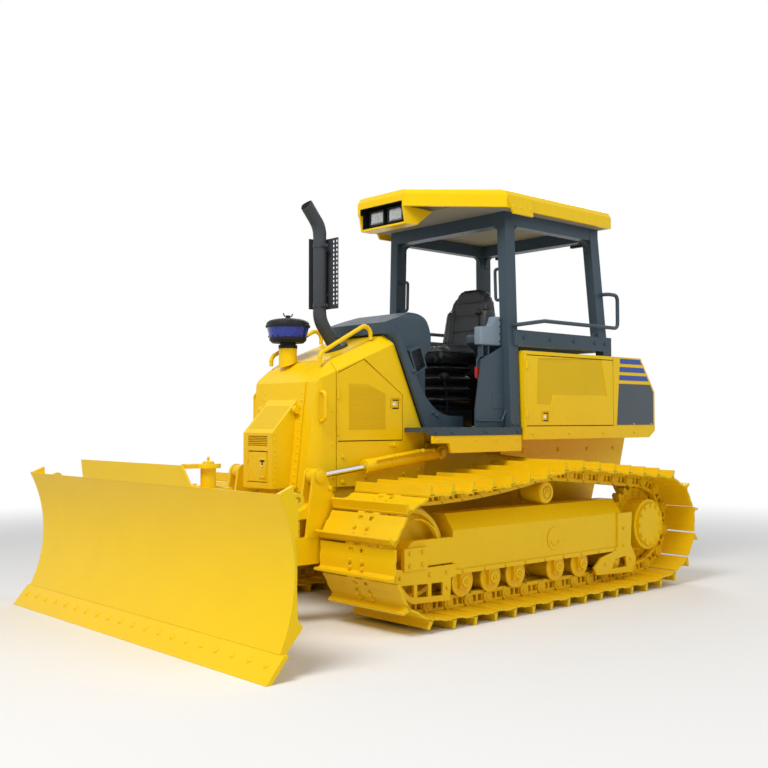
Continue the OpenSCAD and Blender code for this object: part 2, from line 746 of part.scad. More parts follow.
// Louvred engine doors on front hinges
louvre_pitch = 28;
vent_front_x = 2313;
vent_chamfer_x = 2158;
vent_rear_x = 2015;
vent_low_z = 1120;
vent_top_z = 1398;
vent_knee_z = 1340;
door_latch_x = 1924;
door_latch_z = 1276;
module engine_door() {
    difference() {
        side_plate(door_outline(0, 0), hood_w / 2 - hood_t, hood_w / 2);
        intersection() {
            side_plate([[vent_front_x, vent_low_z], [vent_rear_x, vent_low_z],
                [vent_rear_x, vent_knee_z],
                [vent_chamfer_x, vent_top_z], [vent_front_x, vent_top_z]], 0, hood_w);
            for (z = [vent_low_z:louvre_pitch:vent_top_z])
                box([vent_rear_x - over, 0, z], [vent_front_x + over, hood_w, z + louvre_pitch / 2]);
        }
        latch_recess(door_latch_x, hood_w / 2, door_latch_z);
    }
    latch_paddle(door_latch_x, hood_w / 2, door_latch_z);
    knuckles(door_hinge_x, hood_w / 2, door_z, vent_top_z, 0);
}
module engine_door_left() {
    color(body_yellow) placed() engine_door();
}
module engine_door_right() {
    color(body_yellow) placed() mirror([0, 1, 0]) engine_door();
}

// Lower side panels between the doors and the main frame, and fender plates under the floor's edges
fender_t = 20;
fender_low_z = 967;
fender_front_z = 1030;
fender_front_x = 1740;
fender_slope_x = 1718;
module side_panels() {
    top = door_z - 2 * seam;
    hang = floor_z - step_t - skin_gap;
    out = floor_w / 2 - over;
    color(body_yellow) placed() both_sides() {
        side_plate([[cowl_rear_x - seam, nose_low_z], [cowl_rear_x - seam, top],
            [hood_low_rear_x + seam, top],
            [hood_low_rear_x + seam, nose_low_z]], chassis_w / 2 - shelf_t, hood_w / 2);
        side_plate([[floor_rear_x, hang], [step_front_x, hang], [step_front_x, fender_front_z],
            [fender_front_x, fender_front_z], [fender_slope_x, fender_low_z],
            [floor_rear_x, fender_low_z]], out - fender_t, out);
    }
}

// Exhaust stack with a curved foot and a slanted tip, and its guard
stack_x = 2320;
stack_y = 40;
stack_foot_x = 2190;
stack_r = 42;
stack_wall = 4;
stack_knee_z = 1810;
stack_bend = 150;
stack_bend_z = 2400;
stack_top_z = 2535;
stack_lean = 110;
stack_slant = 62;
flange_t = 16;
module exhaust_stack() {
    slope = atan2(hood_rear_z - hood_front_z, hood_front_x - hood_rear_x);
    normal = [sin(slope), 0, cos(slope)];
    foot = [stack_foot_x, stack_y, hood_top_at(stack_foot_x)] + normal * skin_gap;
    bend = [stack_x, stack_y, stack_bend_z];
    tip = [stack_x + stack_lean, stack_y, stack_top_z];
    color(frame_grey) placed() {
        difference() {
            rail([foot + normal * flange_t, [stack_x, stack_y, stack_knee_z], bend, tip], stack_r,
                stack_bend);
            bar(tip - unit(tip - bend) * 2 * stack_r, tip + unit(tip - bend) * stack_r,
                stack_r - stack_wall);
            translate(tip) rotate([0, stack_slant, 0]) cylinder(h = 2 * stack_r, r = 4 * stack_r);
        }
        translate(foot) rotate([0, slope, 0]) cylinder(h = flange_t + over, r = 2 * stack_r);
    }
}
// Guard round the stack's back and right: a plain side, and a rear sheet with two columns of holes
shield_low_z = 1880;
shield_top_z = 2330;
shield_t = 5;
shield_gap = 12;
shield_left = 74;
hole_w = 16;
hole_pitch = 28;
hole_shares = [0.3, 0.72];
module exhaust_shield() {
    y0 = stack_y - stack_r - shield_gap;
    y1 = stack_y + stack_r + shield_left;
    x0 = stack_x - stack_r - shield_gap;
    x1 = stack_x + stack_r;
    strip = stack_y + stack_r;
    color(frame_grey) placed() {
        difference() {
            box([x0 - shield_t, y0, shield_low_z], [x0, y1, shield_top_z]);
            for (s = hole_shares, z = [shield_low_z + hole_pitch:hole_pitch:shield_top_z - hole_pitch])
                box([x0 - 2 * shield_t, strip + shield_left * s, z],
                    [x0 + over, strip + shield_left * s + hole_w, z + hole_w]);
        }
        box([x0 - shield_t, y0 - shield_t, shield_low_z], [x1, y0, shield_top_z]);
        for (z = [shield_low_z + 2 * stack_r, shield_top_z - 2 * stack_r])
            box([x0 - over, stack_y - stack_r / 2, z],
                [stack_x - stack_r - skin_gap, stack_y + stack_r / 2, z + stack_r / 2]);
    }
}

// Intake pre-cleaner on its stem
cleaner_x = 2450;
cleaner_y = -120;
stem_r = 58;
neck_z = 1648;
neck_r = 50;
bowl_low_z = 1700;
bowl_top_z = 1765;
bowl_r = 134;
bowl_low_r = 118;
cleaner_top_z = 1822;
cap_r = 137;
module precleaner_stem() {
    x0 = cleaner_x - 2 * stem_r;
    x1 = cleaner_x + 2 * stem_r;
    low = hood_top_at(x1);
    color(body_yellow) placed() difference() {
        translate([cleaner_x, cleaner_y, low]) cylinder(h = neck_z - low, r = stem_r);
        side_plate([[x0, low - stem_r], [x1, low - stem_r], [x1, hood_top_at(x1) + skin_gap],
            [x0, hood_top_at(x0) + skin_gap]], cleaner_y - 2 * stem_r, cleaner_y + 2 * stem_r);
    }
}
module precleaner_bowl() {
    color(lens_blue) placed() translate([cleaner_x, cleaner_y, bowl_low_z])
        rotate_extrude() polygon([[0, 0], [bowl_low_r, 0], [bowl_r, bowl_top_z - bowl_low_z],
            [0, bowl_top_z - bowl_low_z]]);
}
module precleaner_cap() {
    cap_h = cleaner_top_z - bowl_top_z;
    base_h = bowl_low_z - neck_z - skin_gap;
    dome = bow([cap_r, cap_h / 3], [cap_r, cap_h], [0, cap_h]);
    color(trim_black) placed() translate([cleaner_x, cleaner_y, 0]) {
        translate([0, 0, bowl_top_z]) rotate_extrude() polygon(concat([[0, 0], [cap_r, 0]], dome));
        translate([0, 0, neck_z + skin_gap]) rotate_extrude()
            polygon([[0, 0], [neck_r, 0], [neck_r, base_h / 3],
            [bowl_low_r - base_h / 3, base_h / 3], [bowl_low_r, 2 * base_h / 3], [bowl_low_r, base_h],
            [0, base_h]]);
    }
}

// Hood rails and nose handles, round bars with bent ends
rail_r = 13;
rail_front_x = 2485;
rail_rear_x = 2075;
rail_lift = 5.6;
rail_bend_z = 1581;
rail_bend = 50;
handle_bend = 30;
rail_rear_z = 1800;
handle_r = 11;
handle_out = 45;
// Stand-off of a handle's flat foot from the curved corner
handle_lift = 1.6;
handle_x = 2532;
handle_top_z = 1345;
handle_low_z = 1170;
// Face of the nose's rounded corner at the handles
handle_back = handle_x - nose_low_x + nose_round;
handle_seat = hood_w / 2 - nose_round + sqrt(nose_round * nose_round - handle_back * handle_back);
module hood_rails() {
    inner = hood_w / 2 - hood_chamfer;
    out = handle_seat + handle_out;
    color(body_yellow) placed() both_sides() {
        rail([[rail_front_x, inner, hood_top_at(rail_front_x) + rail_lift],
            [rail_front_x, inner, rail_bend_z],
            [rail_rear_x, inner, rail_rear_z],
            [rail_rear_x, inner, hood_top_at(rail_rear_x) + rail_lift]], rail_r, rail_bend);
        rail([[handle_x, handle_seat + handle_lift, handle_top_z], [handle_x, out, handle_top_z],
            [handle_x, out, handle_low_z], [handle_x, handle_seat + handle_lift, handle_low_z]],
            handle_r, handle_bend);
    }
}

// Dash cowl behind the hood: a moulded hump, and a netted box on its left
dash_front_x = 2000;
dash_front_z = 1800;
dash_crest_x = 1740;
dash_top_z = 1885;
dash_rear_x = 1585;
dash_rear_z = 1730;
dash_lip_z = 1660;
dash_knee_x = 1640;
dash_half = 300;
dash_round = 60;
net_box_t = 46;
net_box_rim = 12;
// Corners of the netted box, as shares of the crest's place and height
net_box_shares = [[1.049, 0.862], [0.987, 0.881], [0.958, 0.806], [1.014, 0.779]];
net_box_inner_shares = [[1.037, 0.858], [0.992, 0.872], [0.968, 0.81], [1.01, 0.788]];
module dash_cowl() {
    color(frame_grey) placed() {
        intersection() {
            side_plate(concat([[hood_rear_at(floor_z) - seam, floor_z],
                [hood_rear_at(hood_rear_z) - seam, hood_rear_z],
                [dash_front_x, hood_rear_z + seam], [dash_front_x, dash_front_z]],
                bow([dash_crest_x, dash_top_z], [dash_rear_x + dash_round / 2, dash_top_z],
                [dash_rear_x, dash_rear_z]),
                [[dash_rear_x, dash_lip_z], [dash_knee_x, dash_lip_z - dash_round],
                [dash_knee_x, floor_z]]),
                -dash_half, dash_half);
            translate([0, 0, floor_z]) rotate([90, 0, 90]) linear_extrude(dash_front_x + over) {
                translate([-dash_half, 0]) square([2 * dash_half, dash_top_z - floor_z - dash_round]);
                translate([dash_round - dash_half, 0])
                    square([2 * (dash_half - dash_round), dash_top_z - floor_z]);
                for (s = [-1, 1]) translate([s * (dash_half - dash_round),
                    dash_top_z - floor_z - dash_round])
                    circle(dash_round);
            }
        }
        difference() {
            side_plate(shares_of(net_box_shares, dash_crest_x, dash_top_z), dash_half - over,
                dash_half + net_box_t);
            side_plate(shares_of(net_box_inner_shares, dash_crest_x, dash_top_z),
                dash_half + net_box_rim, dash_half + net_box_t + over);
        }
    }
}

// Floor deck with its step plates
floor_t = 30;
floor_rear_x = 1040;
floor_front_x = 1850;
step_front_x = 1880;
step_w = 60;
step_t = 50;
module floor_deck() {
    half = floor_w / 2;
    color(frame_grey) placed() difference() {
        box([floor_rear_x, -half, floor_z - floor_t], [floor_front_x, half, floor_z]);
        side_plate([[hood_rear_at(floor_z - floor_t) - 2 * seam, floor_z - floor_t - over],
            [hood_rear_at(floor_z) - 2 * seam, floor_z + over],
            [floor_front_x + over, floor_z + over], [floor_front_x + over, floor_z - floor_t - over]],
            -hood_w / 2 - seam, hood_w / 2 + seam);
    }
    color(frame_grey) placed() both_sides()
        box([floor_rear_x, half - step_w, floor_z - step_t], [step_front_x, half, floor_z]);
}

// Side sills: slanted pillars beside the hood's rear edge that bow into a kick plate
sill_t = 26;
sill_y = 330;
sill_top_x = 1915;
sill_bow_x = 1770;
sill_bow_z = 1457;
sill_turn_x = 1640;
kick_x = 1440;
kick_h = 75;
module side_sills() {
    kick_z = floor_z + kick_h;
    color(frame_grey) placed() both_sides()
        side_plate(concat([[hood_rear_at(floor_z) - seam, floor_z],
            [hood_rear_at(hood_rear_z) - seam, hood_rear_z],
            [sill_top_x, hood_rear_z]], bow([sill_bow_x, sill_bow_z], [sill_turn_x, kick_z],
            [kick_x, kick_z]),
            [[console_front_x + seam, kick_z], [console_front_x + seam, floor_z]]), sill_y,
            sill_y + sill_t);
}

// Canopy structure: four leaning posts, side beams and the roof ring
front_post_x = 1095;
rear_post_x = 95;
rear_post_lean = 56;
post_foot_y = 575;
post_head_y = 530;
beam_low_z = 1680;
beam_h = 105;
ring_h = 90;
web_r = 95;
web_t = 30;
panel_front_x = 1424;
panel_knee_z = 1235;
panel_top_x = 1362;
panel_top_z = 1575;
panel_head_z = 1672;
side_panel_t = 12;
brace_x = 250;
brace_h = 50;
ring_top_z = roof_top - roof_edge;
module post(x, lean, foot_z) {
    d = post_d / 2;
    t = post_t / 2;
    hull() {
        box([x - d, post_foot_y - t, foot_z], [x + d, post_foot_y + t, foot_z + over]);
        box([x + lean - d, post_head_y - t, ring_top_z - over],
            [x + lean + d, post_head_y + t, ring_top_z]);
    }
}
// A corner web with a hollow curve, in the plane of an outline
module corner_web(s) {
    difference() {
        translate([s < 0 ? -web_r : 0, -web_r]) square(web_r);
        translate([s * web_r, -web_r]) circle(web_r);
    }
}
module rops_frame() {
    under = ring_top_z - ring_h + over;
    color(frame_grey) placed() {
        both_sides() {
            post(front_post_x, 0, floor_z);
            post(rear_post_x, rear_post_lean, beam_low_z);
            box([rear_post_x - post_d, post_foot_y - post_t / 2, beam_low_z],
                [front_post_x, post_foot_y + post_t / 2, beam_low_z + beam_h]);
            box([rear_post_x - post_d, post_foot_y - post_t / 2, rear_top],
                [rear_post_x, post_foot_y + post_t / 2, beam_low_z + over]);
            side_plate([[front_post_x, floor_z], [panel_front_x, floor_z],
                [panel_front_x, panel_knee_z],
                [panel_top_x, panel_top_z], [front_post_x + post_d / 2, panel_head_z],
                [front_post_x, panel_head_z]],
                post_foot_y - post_t / 2, post_foot_y - post_t / 2 + side_panel_t);
            side_plate([[brace_x, beam_low_z + beam_h / 2],
                [rear_post_x + post_d / 2, beam_low_z + beam_h + brace_h],
                [rear_post_x, beam_low_z + beam_h + brace_h], [rear_post_x, beam_low_z + beam_h / 2]],
                post_foot_y - side_panel_t, post_foot_y + side_panel_t);
            for (w = [[front_post_x - post_d / 2 + over, -1],
                [rear_post_x + rear_post_lean + post_d / 2 - 2 * over, 1]])
                translate([w[0], post_head_y + web_t / 2, under]) rotate([90, 0, 0])
                    linear_extrude(web_t)
                    corner_web(w[1]);
            for (x = [front_post_x, rear_post_x + rear_post_lean])
                translate([x - web_t / 2, post_head_y - post_t / 2 + over, under]) rotate([90, 0, 90])
                    linear_extrude(web_t) corner_web(-1);
            box([rear_post_x, post_head_y - post_t / 2, ring_top_z - ring_h],
                [front_post_x, post_head_y + post_t / 2, ring_top_z]);
        }
        for (x = [front_post_x, rear_post_x + rear_post_lean])
            box([x - post_d / 2, -post_head_y, ring_top_z - ring_h],
                [x + post_d / 2, post_head_y, ring_top_z]);
        box([rear_post_x - post_d, -post_foot_y, beam_low_z],
            [rear_post_x, post_foot_y, beam_low_z + beam_h]);
    }
}

// Canopy roof: a shallow pan with rounded upper edges, a narrowed front and a scoop for the lamps
roof_rear_x = 60;
roof_shoulder_x = 1230;
roof_front_x = 1764;
roof_front_half = 235;
roof_t = 22;
roof_round = 46;
roof_round_shares = [[0, 1], [0.3, 0.3], [1, 0]];
scoop_half = 225;
scoop_t = 14;
scoop_drop = 112;
scoop_rise = 40;
scoop_knee_x = 1640;
scoop_rear_x = 1490;
pad_t = 12;
pad_front_x = 1230;
pad_rear_x = 970;
pad_drop = 36;
pad_cut = 60;
function roof_plan(inset) = [[roof_rear_x + inset, inset - roof_w / 2],
    [roof_shoulder_x, inset - roof_w / 2], [roof_front_x - inset, inset - roof_front_half],
    [roof_front_x - inset, roof_front_half - inset], [roof_shoulder_x, roof_w / 2 - inset],
    [roof_rear_x + inset, roof_w / 2 - inset]];
module canopy_roof() {
    low = roof_top - roof_edge;
    floor_low = low - scoop_drop;
    color(body_yellow) placed() {
        difference() {
            hull() for (s = roof_round_shares)
                plan_plate(roof_plan(roof_round * s[0]), low, roof_top - roof_round * s[1]);
            plan_plate(roof_plan(roof_t), low - over, low + roof_edge / 2);
            box([scoop_rear_x, scoop_t - scoop_half, low - over],
                [roof_front_x + over, scoop_half - scoop_t, low + scoop_rise]);
        }
        both_sides() {
            side_plate([[roof_front_x - roof_t, low + over], [roof_front_x, low + over],
                [roof_front_x - roof_t, floor_low], [scoop_knee_x, floor_low], [scoop_rear_x, low]],
                scoop_half - scoop_t, scoop_half);
            side_plate([[pad_front_x, roof_top - roof_round], [pad_front_x, low + pad_cut],
                [pad_front_x - pad_cut, low - pad_drop], [pad_rear_x, low - pad_drop],
                [pad_rear_x, roof_top - roof_round]], roof_w / 2 - over, roof_w / 2 + pad_t);
        }
        box([scoop_knee_x, over - scoop_half, floor_low],
            [roof_front_x - roof_t, scoop_half - over, floor_low + scoop_t]);
    }
}
module roof_lining() {
    low = roof_top - roof_edge;
    color(light_grey) placed() difference() {
        plan_plate(roof_plan(roof_t + seam), low + skin_gap, low + roof_edge / 2);
        box([scoop_rear_x - skin_gap, -roof_w, low], [roof_front_x, roof_w, roof_top]);
    }
}

// Work lamps: two in the scoop's dark tray and a pair at the rear corners
lamp_w = 150;
lamp_h = 104;
lamp_d = 60;
lamp_gap = 34;
lamp_rim = 9;
lens_depth = 14;
rear_lamp_y = 380;
tray_t = 20;
module lamp(x, y, z) {
    difference() {
        box([x - lamp_d, y - lamp_w / 2, z - lamp_h / 2], [x, y + lamp_w / 2, z + lamp_h / 2]);
        box([x - lens_depth, y - lamp_w / 2 + lamp_rim, z - lamp_h / 2 + lamp_rim],
            [x + over, y + lamp_w / 2 - lamp_rim, z + lamp_h / 2 - lamp_rim]);
    }
}
module work_lamps() {
    low = roof_top - roof_edge;
    front = roof_front_x - roof_t;
    tray_low = low - scoop_drop + scoop_t;
    tray_half = scoop_half - scoop_t - skin_gap;
    color(trim_black) placed() {
        box([scoop_knee_x, -tray_half, tray_low],
            [scoop_knee_x + tray_t, tray_half, low + scoop_rise - skin_gap]);
        for (s = [-1, 1]) lamp(scoop_knee_x + tray_t + lamp_d - over, s * (lamp_w + lamp_gap) / 2,
            (tray_low + low + scoop_rise) / 2);
        for (s = [-1, 1])
            box([roof_rear_x, s * rear_lamp_y - lamp_w / 2, low - lamp_h],
                [roof_rear_x + roof_t + seam, s * rear_lamp_y + lamp_w / 2, low]);
    }
}

// Rails on the canopy posts: a side tube with an upright loop, and a handle on each front post
side_rail_z = 1856;
side_rail_y = 650;
side_rail_drop = 40;
side_rail_knee_x = 830;
loop_h = 246;
loop_d = 122;
post_rail_r = 14;
post_rail_bend = 45;
rail_seat = 0.8;
post_handle_r = 11;
post_handle_out = 72;
post_handle_low_z = 1996;
post_handle_top_z = 2210;
function post_face(z, foot_z) =
    post_foot_y + (post_head_y - post_foot_y) * (z - foot_z) / (ring_top_z - foot_z)
    + post_t / 2 + rail_seat;
module post_rails() {
    top = side_rail_z + loop_h;
    low = side_rail_z - side_rail_drop;
    x = front_post_x + post_d / 2 + skin_gap;
    y = post_face((post_handle_low_z + post_handle_top_z) / 2, floor_z) - post_t / 2;
    color(frame_grey) placed() both_sides() {
        rail([[front_post_x, post_face(low, floor_z), low], [front_post_x, side_rail_y, low],
            [side_rail_knee_x, side_rail_y, side_rail_z],
            [rear_post_x - loop_d, side_rail_y, side_rail_z],
            [rear_post_x - loop_d, side_rail_y, top], [rear_post_x, side_rail_y, top],
            [rear_post_x, post_face(top, beam_low_z), top]], post_rail_r, post_rail_bend);
        rail([[x, y, post_handle_low_z], [x + post_handle_out, y, post_handle_low_z],
            [x + post_handle_out, y, post_handle_top_z], [x, y, post_handle_top_z]], post_handle_r,
            post_rail_bend / 2);
    }
}

// Seat on a bellows suspension
seat_x = 960;
seat_len = 480;
seat_z = 1575;
seat_t = 105;
back_t = 110;
back_h = 480;
back_lean = 90;
bellows_folds = 4;
bellows_half = 140;
bellows_crease = 24;
module seat_suspension() {
    h = (seat_z - floor_z) / (bellows_folds + 2);
    x = seat_x + seat_len / 2;
    color(trim_black) placed() {
        box([x - bellows_half - bellows_crease, -bellows_half - bellows_crease, floor_z],
            [x + bellows_half + bellows_crease, bellows_half + bellows_crease, floor_z + 2 * h]);
        for (i = [0:bellows_folds - 1]) {
            z = floor_z + (i + 2) * h;
            box([x - bellows_half, -bellows_half, z - over], [x + bellows_half, bellows_half, z + h]);
            box([x - bellows_half - bellows_crease, -bellows_half - bellows_crease, z + h / 4],
                [x + bellows_half + bellows_crease, bellows_half + bellows_crease, z + 3 * h / 4]);
        }
    }
}
module seat_cushion() {
    color(trim_black) placed() box([seat_x, -seat_w / 2, seat_z + skin_gap],
        [seat_x + seat_len, seat_w / 2, seat_z + seat_t]);
}
module seat_back() {
    low = rear_top + seam;
    front = seat_x - skin_gap;
    color(trim_black) placed() side_plate([[front, low], [front, seat_z + seat_t],
        [front - back_lean, seat_z + seat_t + back_h],
        [front - back_lean - back_t, seat_z + seat_t + back_h],
        [front - back_t, low]], -seat_w / 2, seat_w / 2);
}

// Consoles beside the seat, and the control levers
console_y0 = 300;
console_y1 = 470;
console_front_x = 1330;
console_rear_x = 1046;
console_top_z = 1760;
console_step_z = 1690;
pod_y1 = 534;
pod_rear_x = 1150;
pod_front_x = 1350;
pod_low_z = 1676;
pod_step_z = 1797;
pod_top_z = 1872;
pod_step_x = 1215;
module consoles() {
    color(light_grey) placed() both_sides()
        side_plate([[console_rear_x, floor_z], [console_front_x - seat_t, floor_z],
            [console_front_x, console_step_z], [console_front_x - seat_t, console_top_z],
            [console_rear_x, console_top_z]], console_y0, console_y1);
    color(light_grey) placed() both_sides()
        side_plate([[pod_rear_x, pod_low_z], [pod_front_x, pod_low_z], [pod_front_x, pod_step_z],
            [pod_step_x, pod_step_z],
            [pod_step_x - seam, pod_top_z], [pod_rear_x, pod_top_z]], console_y1 - over, pod_y1);
}
lever_r = 12;
lever_h = 150;
knob_r = 26;
module levers() {
    color(trim_black) placed() both_sides() {
        p = [console_front_x - seat_t - knob_r, (console_y0 + console_y1) / 2,
            console_top_z + skin_gap];
        bar(p, p + [0, 0, lever_h], lever_r);
        translate(p + [0, 0, lever_h]) sphere(r = knob_r);
    }
}

// Rear body: skirt tub, core between the doors, corner panels and the hinged covers
rear_front_x = 1030;
rear_corner_x = 10;
rear_end_x = -530;
rear_end_top_x = -345;
rear_knee_z = 1390;
rear_low_x = -450;
core_half = 420;
core_front_x = 830;
mesh_depth = 6;
rear_latch_x = 808;
rear_latch_z = 1196;
// Outline of the mesh's recess, as shares of the rear body's front and top
mesh_shares = [[0.857, 0.971], [0.155, 0.984], [0.089, 0.824], [0.699, 0.822], [0.72, 0.78],
    [0.869, 0.783]];
function rear_side() = [[rear_front_x, rear_z], [rear_front_x, rear_top], [rear_end_top_x, rear_top],
    [rear_end_x, rear_knee_z], [rear_end_x, rear_z + panel_t * 2], [rear_low_x, rear_z]];
module rear_body() {
    half = rear_w / 2;
    color(body_yellow) placed() difference() {
        union() {
            intersection() {
                side_plate(rear_side(), -half, half);
                box([rear_end_x - over, -half - over, rear_z - over],
                    [rear_front_x + over, half + over, rear_split_z]);
            }
            box([rear_end_top_x + panel_t + skin_gap, -core_half, rear_split_z - over],
                [core_front_x, core_half, rear_top]);
            both_sides() {
                box([core_front_x - over, console_y0, rear_split_z - over],
                    [rear_front_x, core_half, rear_top]);
                box([rear_corner_x + seam, core_half - over, rear_top - panel_t],
                    [rear_front_x, half, rear_top]);
                box([rear_front_x - panel_t, core_half - over, rear_split_z - over],
                    [rear_front_x, half, rear_top]);
            }
        }
        both_sides() knuckles(rear_front_x - panel_t - skin_gap, half, rear_split_z, rear_top,
            side_fit);
    }
}
module rear_door() {
    half = rear_w / 2;
    front = rear_front_x - panel_t - skin_gap;
    top = rear_top - panel_t - seam;
    difference() {
        side_plate([[front, rear_split_z + seam], [front, top], [rear_corner_x + seam, top],
            [rear_corner_x + seam, rear_split_z + seam]], half - panel_t, half);
        side_plate(shares_of(mesh_shares, rear_front_x, rear_top), half - mesh_depth, half + over);
        latch_recess(rear_latch_x, half, rear_latch_z);
    }
    latch_paddle(rear_latch_x, half, rear_latch_z);
    knuckles(front, half, rear_split_z, rear_top, 0);
}
module rear_door_left() {
    color(body_yellow) placed() rear_door();
}
module rear_door_right() {
    color(body_yellow) placed() mirror([0, 1, 0]) rear_door();
}
module rear_corners() {
    half = rear_w / 2;
    color(body_yellow) placed() both_sides() side_plate([[rear_corner_x, rear_split_z],
        [rear_corner_x, rear_top], [rear_end_top_x, rear_top], [rear_end_x, rear_knee_z],
        [rear_end_x, rear_split_z]],
        core_half + seam, half);
}
module rear_grille() {
    x = rear_end_top_x + panel_t;
    color(body_yellow) placed() difference() {
        side_plate([[x, rear_split_z + seam], [x, rear_top], [rear_end_top_x, rear_top],
            [rear_end_x, rear_knee_z],
            [rear_end_x, rear_split_z + seam]], -core_half + seam, core_half - seam);
        side_plate([[x + over, rear_split_z + 2 * panel_t], [x + over, rear_top - panel_t],
            [rear_end_top_x + panel_t / 2, rear_top - panel_t], [rear_end_x + panel_t, rear_knee_z],
            [rear_end_x + panel_t, rear_split_z + 2 * panel_t]], -core_half + 2 * panel_t,
            core_half - 2 * panel_t);
        for (z = [rear_split_z + 3 * panel_t:2 * louvre_pitch:rear_top - 3 * panel_t])
            box([rear_end_x - over, -core_half + 3 * panel_t, z],
                [x - panel_t, core_half - 3 * panel_t, z + louvre_pitch]);
    }
    for (s = [-1, 1])
        color(body_yellow) placed() drum(rear_end_top_x, rear_top, s * core_half / 2 - knuckle_h,
            s * core_half / 2 + knuckle_h, knuckle_r);
}

// Drawbar with its pin hole
drawbar_z = 480;
drawbar_w = 130;
drawbar_h = 60;
drawbar_hole_r = 25;
drawbar_hole_in = 70;
function hull_rear_at(z) =
    chassis_rear_x + chassis_slope * (tail_z - z) / (tail_z - chassis_z) - skin_gap;
module drawbar() {
    low = drawbar_z - drawbar_h / 2;
    top = drawbar_z + drawbar_h / 2;
    eye_x = drawbar_x + drawbar_hole_in;
    color(body_yellow) placed() difference() {
        union() {
            side_plate([[eye_x, low], [hull_rear_at(low), low], [hull_rear_at(top), top], [eye_x, top]],
                -drawbar_w / 2, drawbar_w / 2);
            translate([eye_x, 0, low]) cylinder(h = drawbar_h, r = drawbar_hole_in);
        }
        translate([eye_x, 0, low - over]) cylinder(h = drawbar_h + 2 * over, r = drawbar_hole_r);
    }
}

// Push frame: two arms with lift ears that close in a nose for the blade's yoke
arm_w = 100;
arm_low_z = 345;
arm_top_z = 500;
arm_turn_x = 2820;
ear_t = 22;
ear_r = 50;
ear_foot_x = 2420;
ear_boss_t = 8;
ear_bolt_back = 72;
ear_bolt_drop = 70;
strut_low_z = 604;
strut_share = 1.6;
strut_top_z = 690;
nose_half = 130;
nose_end_x = 3230;
yoke_pin_r = 60;
yoke_ring_r = 118;
ball_z = (arm_low_z + arm_top_z) / 2;
angle_base_x = 2785;
angle_base_z = 566;
angle_eye_half = 26;
angle_eye_r = 36;
angle_pin_r = 20;
module push_arm() {
    out_y = arm_y + lift_eye_half + ear_t;
    in_y = arm_y - lift_eye_half;
    difference() {
        union() {
            box([pivot_x, in_y, arm_low_z], [arm_turn_x, out_y, arm_top_z]);
            drum(pivot_x, pivot_z, in_y, out_y, (arm_top_z - arm_low_z) / 2);
        }
        drum(pivot_x, pivot_z, 0, gauge, lift_pin_r + pin_fit);
    }
    plan_plate([[arm_turn_x - arm_w, in_y], [arm_turn_x - over, out_y], [nose_end_x, nose_half],
        [nose_end_x, 0], [nose_end_x - arm_w, 0], [nose_end_x - arm_w, nose_half / 2]], arm_low_z,
        arm_top_z);
    for (s = [-1, 1]) {
        y = arm_y + s * (lift_eye_half + side_fit + ear_t / 2);
        side_plate([[ear_foot_x, arm_top_z - over], [ear_x + 2 * ear_r, arm_top_z - over],
            [ear_x + ear_r, ear_z], [ear_x - ear_r, ear_z]], y - ear_t / 2, y + ear_t / 2);
        drum(ear_x, ear_z, y - ear_t / 2, y + ear_t / 2, ear_r);
    }
    drum(ear_x, ear_z, out_y, out_y + ear_boss_t, ear_r - ear_boss_t);
    drum(ear_x - ear_bolt_back, ear_z - ear_bolt_drop, out_y, out_y + ear_boss_t, 2 * ear_boss_t);
    side_plate([[ear_x - ear_r, strut_top_z], [ear_x - ear_r, strut_low_z],
        [angle_base_x + strut_share * angle_eye_r, strut_low_z],
        [angle_base_x + strut_share * angle_eye_r, strut_low_z + ear_boss_t], [ear_x + ear_r, strut_top_z]],
        arm_y - lift_eye_half - 2 * side_fit, arm_y + lift_eye_half + 2 * side_fit);
    translate([angle_base_x, arm_y, arm_top_z - over])
        cylinder(h = angle_base_z - angle_eye_half - arm_top_z, r = angle_eye_r);
    translate([angle_base_x, arm_y, arm_top_z - over])
        cylinder(h = angle_base_z + angle_eye_half - arm_top_z + over, r = angle_pin_r);
}
module push_frame() {
    color(body_yellow) placed() difference() {
        union() {
            both_sides() push_arm();
            for (z = [arm_low_z, arm_top_z - ear_t])
                translate([ball_x, 0, z]) cylinder(h = ear_t, r = yoke_ring_r);
        }
        translate([ball_x, 0, 0]) cylinder(h = roof_top, r = yoke_pin_r + pin_fit);
    }
}

// Yoke: a vertical pin in the push frame's nose, a tilt trunnion ahead of it and a tower
trunnion_r = 48;
trunnion_end_x = 3488;
socket_r = 100;
tower_half = 45;
tower_top_z = 850;
tilt_x = 3430;
tilt_base_y = 70;
tilt_base_z = 800;
tilt_pin_y = 560;
tilt_pin_z = 760;
tilt_r = 36;
tilt_rod_r = 18;
tilt_eye_half = 24;
tilt_eye_r = 34;
module angle_yoke() {
    color(body_yellow) placed() {
        translate([ball_x, 0, arm_low_z - over]) cylinder(h = tower_top_z - arm_low_z, r = yoke_pin_r);
        translate([ball_x, 0, ball_z]) rotate([0, 90, 0])
            cylinder(h = trunnion_end_x - ball_x, r = trunnion_r);
        box([ball_x, -tower_half, arm_top_z + side_fit],
            [tilt_x - tilt_r - 3 * side_fit, tower_half, tower_top_z]);
        box([ball_x, 0, tilt_base_z - angle_pin_r],
            [tilt_x - tilt_r - 3 * side_fit, tilt_base_y, tilt_base_z + angle_pin_r]);
        translate([ball_x, tilt_base_y, tilt_base_z]) rotate([0, 90, 0])
            cylinder(h = tilt_x - tilt_eye_half - side_fit - ball_x, r = tilt_eye_r - over);
        translate([ball_x, tilt_base_y, tilt_base_z]) rotate([0, 90, 0])
            cylinder(h = tilt_x + tilt_eye_half - ball_x, r = angle_pin_r);
    }
}

